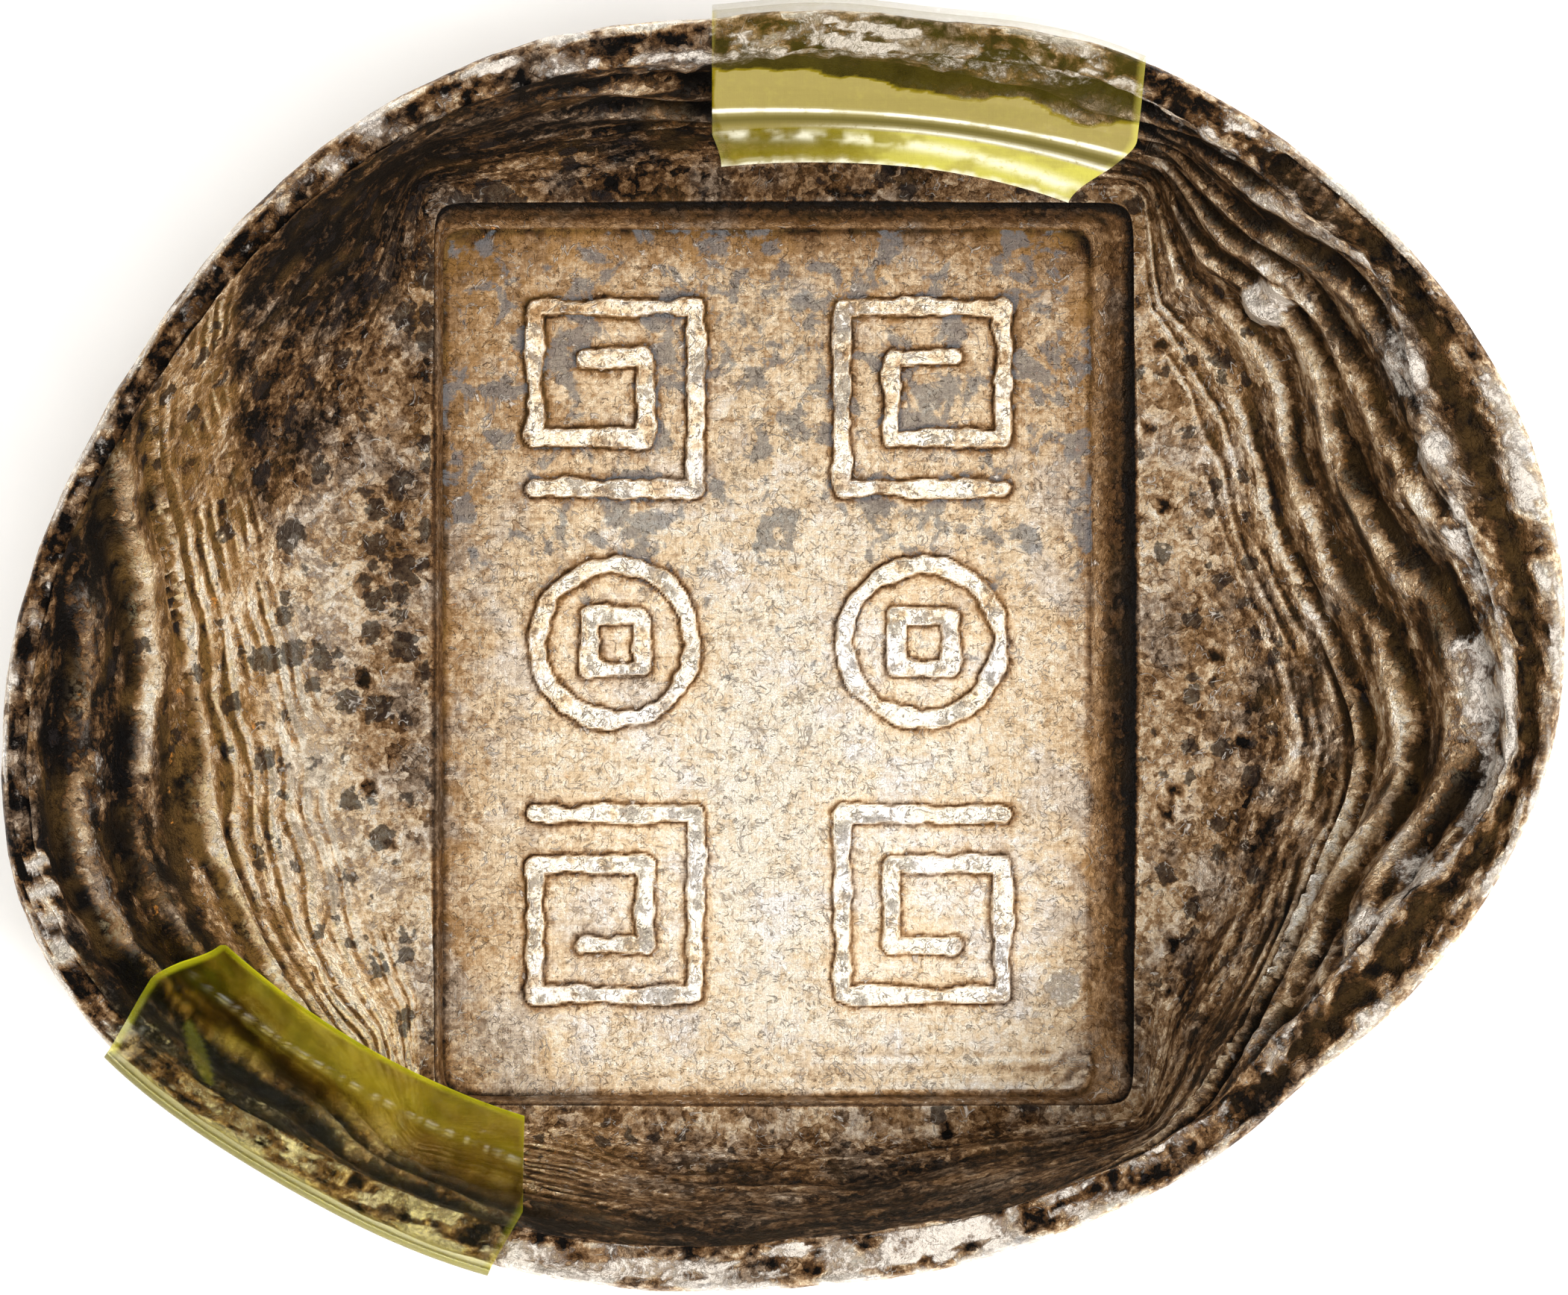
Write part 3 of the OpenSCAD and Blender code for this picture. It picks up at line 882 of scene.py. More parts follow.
    def build(self, finish: bpy.types.Material) -> bpy.types.Object:
        """Make the casting.

        Args:
            finish: Silver finish.

        Returns:
            The casting's object, placed and riding on its body.
        """
        skin = self.skin()
        names = ("tarnish", "gild", "slate", "crust", "brushed", "flow", "ripple", "mottle")
        layers = {name: skin.verts.layers.float.new(name) for name in names}
        zones = skin.verts.layers.int["zone"]
        shares = skin.verts.layers.float["share"]
        turns = skin.verts.layers.float["turn"]
        skin.normal_update()
        moves: list[tuple[bmesh.types.BMVert, Vector]] = []
        low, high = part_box("ingot")
        for vert in skin.verts:
            zone = Zone(vert[zones])
            turn = vert[turns]
            found = self.spot(zone, vert[shares], turn, vert.co)
            if zone is Zone.SIDE or (zone is Zone.LIP and vert[shares] > self.outer_lip):
                found.height = min(found.height, self.outer_relief)
            if zone in (Zone.LIP, Zone.SIDE) and self.near_clip(turn):
                found.height = min(found.height, self.seat_relief)
            target = vert.co + vert.normal * found.height
            for axis in range(3):
                target[axis] = min(max(target[axis], low[axis] / MM), high[axis] / MM)
            moves.append((vert, target))
            for name in names:
                vert[layers[name]] = getattr(found, name)
        for vert, target in moves:
            vert.co = target
        self.darken_hollows(skin, layers["tarnish"])
        for face in skin.faces:
            face.smooth = True
        bmesh.ops.scale(skin, vec=(MM, MM, MM), verts=skin.verts)
        return place_piece("casting", skin, finish, "ingot")

    def darken_hollows(self, skin: bmesh.types.BMesh, tarnish: bmesh.types.BMLayerItem) -> None:
        """Let tarnish gather in hollows and wear off crests.

        Args:
            skin: The finished skin.
            tarnish: Layer with the tarnish of each vertex.
        """
        skin.normal_update()
        for vert in skin.verts:
            near = [edge.other_vert(vert).co for edge in vert.link_edges]
            around = sum(near, Vector()) / len(near)
            sunk = (around - vert.co).dot(vert.normal) / self.hollow_scale
            vert[tarnish] += self.hollow_tone * min(max(sunk, -1.0), 1.0)

    def near_clip(self, turn: float) -> bool:
        """Whether a clip reaches over the rim in a direction."""
        turns = (UPPER_CLIP_TURN, LOWER_CLIP_TURN)
        return any(abs(turn_gap(turn, middle)) < self.clip_half_turn for middle in turns)


class ClipKind(Enum):
    """How a clip's sheet has aged."""

    MILKY = "milky"
    CLEAR = "clear"


@dataclass
class Film:
    """Look of one point of a clip's sheet."""

    veil: float = 0.0
    # Painted highlight along creases and edges, with some real whitening.
    fold: float = 0.0
    # Painted glowing light of the sheet's thick edges and flange.
    painted_glow: float = 0.0
    # Painted shade: dark olive strips on the sheet.
    painted_shade: float = 0.0


@dataclass
class RimClip:
    """Clear hook-shaped clip over the rim. Sizes are in millimetres."""

    node: str
    direction: float
    casting: Casting
    kind: ClipKind
    outer_width: float = 16.8
    taper_left: float = 1.0
    taper_right: float = 2.3
    reach: float = 6.4
    flat: float = 3.2
    crease: float = 4.75
    shelf_drop: float = 0.5
    flange_drop: float = 2.5
    bow: float = 0.75
    skirt: float = 5.0
    sheet: float = 0.22
    gap: float = 0.05
    bend: float = 0.3
    columns: int = 96
    mesh_step: float = 0.1
    aim_turn: float = 8.0
    sharp_angle: float = 0.9
    outline_reach: int = 60
    outline_step: float = 0.5
    leaf_start: tuple[float, float] = (-22.9, -14.2)
    leaf_end: tuple[float, float] = (-21.9, -16.8)

    def profile(self) -> list[tuple[float, float]]:
        """Middle line of the sheet from the skirt's foot over the rim to the flange's foot."""
        half = self.sheet / 2.0
        out = self.gap + half
        return [
            (out, -self.skirt),
            (out, -half),
            (-self.flat, -half),
            (-self.crease, -self.shelf_drop - half),
            (-self.reach + half, -self.flange_drop - half),
        ]

    def rounded(self, samples: int = 5) -> list[tuple[float, float]]:
        """Middle line with its bends rounded.

        Args:
            samples: Points in each bend.

        Returns:
            Points as outwards distance and height against the top.
        """
        corners = self.profile()
        line = [Vector(corners[0])]
        for before, corner, after in zip(corners, corners[1:], corners[2:]):
            here = Vector(corner)
            back = (Vector(before) - here).normalized() * self.bend
            ahead = (Vector(after) - here).normalized() * self.bend
            for i in range(samples + 1):
                share = i / samples
                line.append(here + back * (1.0 - share) ** 2 + ahead * share**2)
        line.append(Vector(corners[-1]))
        full: list[Vector] = []
        for start, end in zip(line, line[1:]):
            pieces = max(1, round((end - start).length / self.mesh_step))
            full.extend(start.lerp(end, i / pieces) for i in range(pieces))
        full.append(line[-1])
        return [(point.x, point.y) for point in full]

    def rim_point(self, turn: float) -> Vector:
        """Point of the rim's outline in plan."""
        radius = self.casting.rim_radius(turn)
        return Vector((radius * math.cos(math.radians(turn)), radius * math.sin(math.radians(turn))))

    def build(self, finish: bpy.types.Material) -> bpy.types.Object:
        """Make the clip.

        Args:
            finish: Clear plastic finish.

        Returns:
            The clip's object, placed and riding on its body.
        """
        low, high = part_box(self.node)
        top = high.z / MM
        run = self.rim_point(self.direction + self.aim_turn) - self.rim_point(self.direction - self.aim_turn)
        facing = math.atan2(run.y, run.x) - math.pi / 2.0
        seat = self.rim_point(self.direction)
        line = self.rounded()
        sheet = bmesh.new()
        bmesh.ops.create_grid(sheet, x_segments=len(line) - 1, y_segments=self.columns, size=1.0)
        names = ("veil", "fold", "painted_glow", "painted_shade")
        layers = {name: sheet.verts.layers.float.new(name) for name in names}
        outward = Vector((math.cos(facing), math.sin(facing)))
        sideways = Vector((-math.sin(facing), math.cos(facing)))
        outline = self.outline_table(seat, outward, sideways)
        for vert in sheet.verts:
            index = round((vert.co.x + 1.0) / 2.0 * (len(line) - 1))
            out, down = line[index]
            inward = min(max(-out / self.reach, 0.0), 1.0)
            lateral = vert.co.y
            taper = self.taper_right if lateral < 0.0 else self.taper_left
            side = lateral * (self.outer_width / 2.0 - taper * smooth(0.6, 1.0, inward))
            follow = outline(side) * (1.0 - smooth(0.05, 0.6, inward))
            bow = self.bow * smooth(0.3, 0.8, inward) * (1.0 - lateral**2)
            spot = seat + outward * (out + follow + bow) + sideways * side
            rough = Vector((spot.x, spot.y, down))
            height = top + down + 0.05 * grain(rough, 3.0, 2) * smooth(0.1, 0.4, inward) - 0.05
            vert.co = (spot.x, spot.y, height)
            film = self.film(rough, inward, lateral, out > 0.0)
            for name in names:
                vert[layers[name]] = getattr(film, name)
        bmesh.ops.recalc_face_normals(sheet, faces=sheet.faces)
        bmesh.ops.solidify(sheet, geom=sheet.faces, thickness=self.sheet)
        bmesh.ops.recalc_face_normals(sheet, faces=sheet.faces)
        for vert in sheet.verts:
            for axis in range(3):
                vert.co[axis] = min(max(vert.co[axis], low[axis] / MM), high[axis] / MM)
        for face in sheet.faces:
            face.smooth = True
        for edge in sheet.edges:
            edge.smooth = not (len(edge.link_faces) == 2 and edge.calc_face_angle() > self.sharp_angle)
        bmesh.ops.scale(sheet, vec=(MM, MM, MM), verts=sheet.verts)
        return place_piece(self.node + "_sheet", sheet, finish, self.node)

    def film(self, place: Vector, inward: float, lateral: float, outside: bool) -> Film:
        """Look of the sheet at one point.

        Args:
            place: The point in plan, with its depth.
            inward: Share of the way from the rim's outline to the flange's foot.
            lateral: -1 to 1 along the clip.
            outside: Whether the point is on the skirt.

        Returns:
            How veiled the sheet is there, and how much painted highlight, painted glowing light and painted
            shade it has.
        """
        ends = smooth(0.965, 0.99, abs(lateral))
        if outside:
            # On the skirt the milky clip gets a faint painted highlight and the clear clip a dark olive
            # painted shade.
            return Film(veil=0.1, fold=0.16) if self.kind is ClipKind.MILKY else Film(veil=0.85, painted_shade=0.8)
        if self.kind is ClipKind.MILKY:
            return self.milky_film(place, inward, lateral, ends)
        return self.clear_film(place, inward, lateral, ends)

    def milky_film(self, place: Vector, inward: float, lateral: float, ends: float) -> Film:
        """Look of the milky clip: clear over the rim, an olive band, two creases with painted highlights and
        painted shade, and a flange in painted glowing yellow.

        Args:
            place: The point in plan, with its depth.
            inward: Share of the way from the rim's outline to the flange's foot.
            lateral: -1 at the clip's right end to 1 at its left end.
            ends: Share of the clip's cut ends.

        Returns:
            How veiled, creased, bright and dark the sheet is there.
        """
        start = 0.47 - 0.07 * lateral + 0.07 * grain(place, 2.6, 3) + 0.02 * grain(place, 0.6, 2)
        band = smooth(start - 0.012, start + 0.012, inward) * smooth(1.0, 0.93, lateral)
        flange = smooth(0.785, 0.80, inward)
        right = smooth(0.75, -0.2, lateral)
        # The two crease lines are painted as highlights.
        first = bell(inward, 0.70, 0.009)
        second = bell(inward, 0.78, 0.009)
        # Painted highlight: a soft sheen across the flange.
        sheen = bell(inward, 0.86 - 0.05 * lateral, 0.03) * flange
        ragged = smooth(0.955, 0.985, inward + 0.02 * grain(place, 0.5, 2))
        film = Film(max(0.86 * band * (1.0 - 0.45 * flange * (1.0 - right)), 0.06))
        worn = smooth(-0.4, 0.2, grain(place, 1.1, 3))
        creases = first * mix(0.5, 1.0, worn) + 0.8 * second * right
        # Painted highlights of the creases and the sheen, with some whitening at the ragged inner edge.
        film.fold = min(creases + 0.55 * sheen * worn + 0.6 * ragged, 1.0)
        film.fold = max(film.fold, 0.02 * (1.0 - band))
        # Painted glowing yellow light in the flange, strongest at its right end, and at the cut ends.
        film.painted_glow = max(flange * mix(0.15, 0.85, right) * mix(0.6, 1.0, worn), 0.5 * ends)
        # Painted shade: a dark olive strip between the two crease lines, and a dark patch in the left of the
        # flange.
        film.painted_shade = max(bell(inward, 0.742, 0.026), 0.55 * flange * (1.0 - right) * bell(inward, 0.87, 0.06))
        return film

    def clear_film(self, place: Vector, inward: float, lateral: float, ends: float) -> Film:
        """Look of the clear clip: an olive sheet with a painted glowing inner edge, a dotted painted
        highlight along the crease, and a folded leaf.

        Args:
            place: The point in plan, with its depth.
            inward: Share of the way from the rim's outline to the flange's foot.
            lateral: -1 at the clip's left end to 1 at its right end.
            ends: Share of the clip's cut ends.

        Returns:
            How veiled the sheet is there, and how much painted highlight, painted glowing light and painted
            shade it has.
        """
        flange = smooth(0.70, 0.80, inward)
        # Painted highlight: a dotted line of glints along the crease.
        dots = bell(inward, 0.77, 0.009) * smooth(-0.1, 0.3, grain(place, 0.3, 2))
        dots *= smooth(-0.96, -0.8, lateral)
        edge = smooth(0.965, 0.985, inward)
        run_x = self.leaf_end[0] - self.leaf_start[0]
        run_y = self.leaf_end[1] - self.leaf_start[1]
        length = math.hypot(run_x, run_y)
        along = ((place.x - self.leaf_start[0]) * run_x + (place.y - self.leaf_start[1]) * run_y) / length**2
        aside = ((place.x - self.leaf_start[0]) * run_y - (place.y - self.leaf_start[1]) * run_x) / length
        leaf = smooth(1.0, 0.8, (2.0 * along - 1.0) ** 2 + (aside / 0.32) ** 2)
        frost = smooth(-0.86, -0.93, lateral) * smooth(0.4, 0.25, inward)
        frost *= smooth(-0.2, 0.35, grain(place, 0.5, 3))
        wet = smooth(0.42, 0.74, inward + 0.12 * grain(place, 1.8, 3))
        film = Film(mix(0.34, 0.86, wet) + 0.08 * grain(place, 1.4, 3) + 0.2 * leaf)
        # Painted highlight dots, plus the frosted corner at the left end.
        film.fold = min(0.5 * dots + 0.35 * frost, 1.0)
        rim_line = smooth(0.02, 0.0, inward)
        # Painted glowing light along the inner edge, the cut ends and the leaf, and as a haze over the
        # flange.
        hazy = 0.16 * flange * smooth(-0.5, 0.3, grain(place, 2.0, 3))
        film.painted_glow = max(edge, 0.2 * leaf, hazy, 0.7 * smooth(-0.955, -0.985, lateral), 0.45 * ends)
        # Painted shade: a dark olive line along the rim's outline.
        film.painted_shade = 0.6 * rim_line
        return film

    def outline_table(self, seat: Vector, outward: Vector, sideways: Vector) -> Callable[[float], float]:
        """Shape of the rim's outline beside the seat.

        Args:
            seat: Point of the outline where the clip's middle sits.
            outward: Direction away from the bowl.
            sideways: Direction along the clip.

        Returns:
            Function that gives how far out the outline lies at a sideways distance.
        """
        points = []
        for i in range(-self.outline_reach, self.outline_reach + 1):
            offset = self.rim_point(self.direction + i * self.outline_step) - seat
            points.append((offset.dot(sideways), offset.dot(outward)))
        points.sort()

        def behind(side: float) -> float:
            """Outwards place of the outline at a sideways distance."""
            for (near_side, near_out), (far_side, far_out) in zip(points, points[1:]):
                if near_side <= side <= far_side:
                    return mix(near_out, far_out, (side - near_side) / (far_side - near_side))
            return points[0][1] if side < points[0][0] else points[-1][1]

        return behind


class NodeSheet:
    """Node tree of a finish or a shared effect, with short ways to add nodes."""

    def __init__(self, tree: bpy.types.NodeTree) -> None:
        """Start on an empty tree."""
        self.tree = tree
        self.tree.nodes.clear()

    def add(self, kind: str, **settings: object) -> bpy.types.Node:
        """Add a node of a kind with some of its own settings."""
        node = self.tree.nodes.new(kind)
        for name, value in settings.items():
            setattr(node, name, value)
        return node

    def feed(self, socket: Socket, value: Value | Colour) -> None:
        """Link a socket or set its plain value."""
        if isinstance(value, bpy.types.NodeSocket):
            self.tree.links.new(value, socket)
        else:
            socket.default_value = value

    def feed_all(self, node: bpy.types.Node, values: Feeds) -> bpy.types.Node:
        """Feed several inputs of a node by name, and give the node back."""
        for name, value in values.items():
            self.feed(node.inputs[name], value)
        return node

    def math(self, operation: str, first: Value, second: Value = 0.0, clamp: bool = False) -> Socket:
        """Result of one sum.

        Args:
            operation: Kind of sum.
            first: Its first number.
            second: Its second number.
            clamp: Whether the result is kept within 0 and 1.

        Returns:
            The result.
        """
        node = self.add("ShaderNodeMath", operation=operation, use_clamp=clamp)
        self.feed(node.inputs[0], first)
        self.feed(node.inputs[1], second)
        return node.outputs[0]

    def times(self, first: Value, second: Value, clamp: bool = False) -> Socket:
        """Product of two numbers, kept within 0 and 1 where that is asked for."""
        return self.math("MULTIPLY", first, second, clamp)

    def weigh(self, start: Value, *parts: tuple[Socket, float]) -> Socket:
        """Start value plus each part times its weight."""
        total = start
        for part, weight in parts:
            total = self.math("ADD", total, self.times(part, weight))
        return total

    def within(self, value: Socket, low: float, high: float) -> Socket:
        """Value kept between two limits."""
        return self.math("MINIMUM", self.math("MAXIMUM", value, low), high)

    def noise(
        self, vector: Socket, scale: Value, detail: float, rough: float = 0.6, twist: float = 0.0
    ) -> Socket:
        """Smooth noise, centred on 0.

        Args:
            vector: Place.
            scale: Lumps in a millimetre.
            detail: How many finer layers it has.
            rough: Weight of each finer layer.
            twist: How far the lumps are bent.

        Returns:
            The noise's height.
        """
        values = {"Vector": vector, "Scale": scale, "Detail": detail, "Roughness": rough, "Distortion": twist}
        node = self.feed_all(self.add("ShaderNodeTexNoise"), values)
        return self.math("SUBTRACT", node.outputs[0], 0.5)

    def bent(self, place: Socket, scale: float, detail: float, reach: float) -> Socket:
        """Place shifted by smooth noise.

        Args:
            place: Place before the shift.
            scale: Lumps of the noise in a millimetre.
            detail: How many finer layers the noise has.
            reach: Greatest shift.

        Returns:
            The shifted place.
        """
        values = {"Vector": place, "Scale": scale, "Detail": detail}
        bend = self.feed_all(self.add("ShaderNodeTexNoise"), values)
        moved = self.add("ShaderNodeVectorMath", operation="MULTIPLY_ADD")
        for socket, value in zip(moved.inputs, (bend.outputs[1], (reach, reach, reach), place)):
            self.feed(socket, value)
        return moved.outputs[0]

    def cells(self, place: Socket, frequency: Socket, **settings: object) -> bpy.types.Node:
        """Scattered cells of a frequency."""
        node = self.add("ShaderNodeTexVoronoi", **settings)
        return self.feed_all(node, {"Vector": place, "Scale": frequency})

    def red(self, colour: Socket) -> Socket:
        """First channel of a colour."""
        split = self.add("ShaderNodeSeparateColor")
        self.feed(split.inputs[0], colour)
        return split.outputs[0]

    def ease(self, value: Socket, low: Value, high: Value) -> Socket:
        """Share that eases from 0 at low to 1 at high."""
        node = self.add("ShaderNodeMapRange", interpolation_type="SMOOTHSTEP")
        self.feed_all(node, {"Value": value, "From Min": low, "From Max": high})
        return node.outputs["Result"]

    def blend(self, share: Value, first: Socket | Colour, second: Socket | Colour) -> Socket:
        """Colour a share of the way from the first to the second."""
        node = self.add("ShaderNodeMix", data_type="RGBA")
        for index, value in ((0, share), (6, first), (7, second)):
            self.feed(node.inputs[index], value)
        return node.outputs[2]

    def stain(self, colour: Socket, share: Socket, strength: float, tone: Rgb) -> Socket:
        """Colour stained with a tone, as strongly as a share of the surface says."""
        return self.blend(self.times(share, strength), colour, linear(*tone))

    def ramp(self, value: Socket, stops: Stops) -> Socket:
        """Colour along a row of stops."""
        node = self.add("ShaderNodeValToRGB")
        marks = node.color_ramp.elements
        while len(marks) < len(stops):
            marks.new(0.5)
        for mark, (place, colour) in zip(marks, stops):
            mark.position = place
            mark.color = linear(*colour)
        self.feed(node.inputs[0], value)
        return node.outputs[0]

    def attribute(self, name: str) -> Socket:
        """Value of one of the mesh's own attributes."""
        return self.add("ShaderNodeAttribute", attribute_name=name).outputs["Fac"]

    def millimetres(self) -> Socket:
        """Object coordinates in millimetres."""
        place = self.add("ShaderNodeTexCoord").outputs["Object"]
        node = self.add("ShaderNodeVectorMath", operation="SCALE")
        self.feed(node.inputs[0], place)
        self.feed(node.inputs["Scale"], 1.0 / MM)
        return node.outputs[0]

    def group(self, tree: bpy.types.NodeTree, **values: Value) -> bpy.types.NodeOutputs:
        """Outputs of a shared effect that is placed with its own values."""
        return self.feed_all(self.add("ShaderNodeGroup", node_tree=tree), values).outputs

    def bump(self, height: Socket, distance: float, strength: float) -> Socket:
        """Normal bent by a height."""
        node = self.add("ShaderNodeBump")
        self.feed_all(node, {"Distance": distance, "Strength": strength, "Height": height})
        return node.outputs["Normal"]

    def close(self, values: Feeds) -> None:
        """Add the surface's shader, fed with values by name, and link it to the finish's output."""
        shader = self.feed_all(self.add("ShaderNodeBsdfPrincipled"), values)
        out = self.add("ShaderNodeOutputMaterial")
        self.feed(out.inputs["Surface"], shader.outputs[0])


def new_finish(name: str) -> tuple[bpy.types.Material, NodeSheet]:
    """New material of a name, with its empty sheet of nodes."""
    finish = bpy.data.materials.new(name)
    finish.use_nodes = True
    return finish, NodeSheet(finish.node_tree)


class SharedEffects:
    """Effects that several finishes use, each built once as a node group."""

    def __init__(self) -> None:
        """Build the groups."""
        self.speckle = self.make_speckle()
        self.scratches = self.make_scratches()
        self.grain = self.make_grain()
        self.dots = self.make_dots()
        self.fibres = self.make_fibres()
        self.flakes = self.make_flakes()
        self.folds = self.make_folds()

    def start(
        self, name: str, inputs: dict[str, float], outputs: tuple[str, ...]
    ) -> tuple[NodeSheet, bpy.types.NodeOutputs, bpy.types.NodeInputs]:
        """Begin a group.

        Args:
            name: Name of the group.
            inputs: Its plain inputs with their usual values.
            outputs: Its outputs.

        Returns:
            The sheet of the group, what it is given and what it makes.
        """
        tree = bpy.data.node_groups.new(name, "ShaderNodeTree")
        tree.interface.new_socket("Place", in_out="INPUT", socket_type="NodeSocketVector")
        for label, value in inputs.items():
            socket = tree.interface.new_socket(label, in_out="INPUT", socket_type="NodeSocketFloat")
            socket.default_value = value
        for label in outputs:
            tree.interface.new_socket(label, in_out="OUTPUT", socket_type="NodeSocketFloat")
        sheet = NodeSheet(tree)
        given = sheet.add("NodeGroupInput").outputs
        return sheet, given, sheet.add("NodeGroupOutput").inputs

    def make_speckle(self) -> bpy.types.NodeTree:
        """Ragged spots whose share of the surface follows Amount."""
        usual = {"Frequency": 1.0, "Amount": 0.5, "Softness": 0.05}
        sheet, given, made = self.start("ragged_spots", usual, ("Mask",))
        spots = sheet.noise(given["Place"], given["Frequency"], 4.0, 0.62, 0.3)
        edge = sheet.math("SUBTRACT", 0.34, sheet.times(given["Amount"], 0.34))
        far = sheet.math("ADD", edge, given["Softness"])
        sheet.feed(made["Mask"], sheet.ease(spots, edge, far))
        return sheet.tree

    def make_scratches(self) -> bpy.types.NodeTree:
        """Fine brushed lines along X and Y."""
        sheet, given, made = self.start("brushed_lines", {"Frequency": 1.0}, ("Lines",))
        lines = []
        for stretch in ((0.12, 4.0, 1.0), (4.0, 0.12, 1.0)):
            node = self.feed_mapping(sheet, given["Place"], stretch)
            lines.append(sheet.noise(node, given["Frequency"], 5.0, 0.7))
        sheet.feed(made["Lines"], sheet.math("ADD", lines[0], lines[1]))
        return sheet.tree

    def feed_mapping(self, sheet: NodeSheet, place: Socket, stretch: Colour) -> Socket:
        """Place stretched along each axis."""
        node = sheet.feed_all(sheet.add("ShaderNodeMapping"), {"Scale": stretch, "Vector": place})
        return node.outputs[0]

    def make_grain(self) -> bpy.types.NodeTree:
        """Broad and fine unevenness of a surface."""
        sheet, given, made = self.start("surface_grain", {"Frequency": 1.0}, ("Broad", "Middle", "Fine"))
        for label, factor, detail in (("Broad", 0.2, 3.0), ("Middle", 0.9, 5.0), ("Fine", 3.6, 5.0)):
            scale = sheet.times(given["Frequency"], factor)
            sheet.feed(made[label], sheet.noise(given["Place"], scale, detail, 0.68))
        return sheet.tree

    def make_dots(self) -> bpy.types.NodeTree:
        """Round spots of mixed sizes, whose size follows Amount."""
        sheet, given, made = self.start("round_spots", {"Frequency": 0.7, "Amount": 0.5}, ("Mask",))
        cells = sheet.cells(sheet.bent(given["Place"], 2.8, 2.0, 0.8), given["Frequency"]).outputs
        size = sheet.times(sheet.math("POWER", sheet.red(cells["Color"]), 1.4), given["Amount"])
        inside = sheet.math("SUBTRACT", sheet.times(size, 0.72), cells["Distance"])
        sheet.feed(made["Mask"], sheet.ease(inside, -0.03, 0.06))
        return sheet.tree

    def make_fibres(self) -> bpy.types.NodeTree:
        """Short curved hairlines, as on etched or fibrous metal."""
        sheet, given, made = self.start("hairlines", {"Frequency": 1.2}, ("Mask",))
        lines = sheet.noise(given["Place"], given["Frequency"], 2.0, 0.5, 1.4)
        line = sheet.ease(sheet.math("ABSOLUTE", lines), 0.022, 0.0)
        often = sheet.times(given["Frequency"], 1.7)
        gate = sheet.ease(sheet.noise(given["Place"], often, 2.0), 0.0, 0.08)
        sheet.feed(made["Mask"], sheet.times(line, gate))
        return sheet.tree

    def make_flakes(self) -> bpy.types.NodeTree:
        """Small bent flakes, each with its own tone, and the thin gaps between them."""
        sheet, given, made = self.start("flakes", {"Frequency": 1.5}, ("Tone", "Gaps"))
        moved = sheet.bent(given["Place"], 1.4, 3.0, 1.1)
        cells = sheet.cells(moved, given["Frequency"]).outputs
        edges = sheet.cells(moved, given["Frequency"], feature="DISTANCE_TO_EDGE").outputs
        sheet.feed(made["Tone"], sheet.math("SUBTRACT", sheet.red(cells["Color"]), 0.5))
        gate = sheet.ease(sheet.noise(given["Place"], 1.1, 3.0), 0.0, 0.12)
        sheet.feed(made["Gaps"], sheet.times(sheet.ease(edges["Distance"], 0.09, 0.0), gate))
        return sheet.tree

    def make_folds(self) -> bpy.types.NodeTree:
        """Crests, valleys and height of folds that are counted by Flow."""
        usual = {"Flow": 0.0, "Amount": 1.0}
        sheet, given, made = self.start("flow_folds", usual, ("Crest", "Valley", "Height"))
        shake = sheet.noise(given["Place"], 0.9, 4.0, 0.6)
        place = sheet.math("FRACT", sheet.weigh(given["Flow"], (shake, 0.35)))
        from_crest = sheet.math("ABSOLUTE", sheet.math("SUBTRACT", place, FOLD_CREST))
        rise = sheet.ease(place, 0.0, FOLD_CREST)
        values = {
            "Crest": sheet.ease(from_crest, 0.17, 0.0),
            "Valley": sheet.math("MAXIMUM", sheet.ease(place, 0.3, 0.0), sheet.ease(place, 0.88, 1.0)),
            "Height": sheet.math("SUBTRACT", rise, sheet.ease(place, 0.84, 1.0)),
        }
        for label, value in values.items():
            sheet.feed(made[label], sheet.times(value, given["Amount"]))
        return sheet.tree


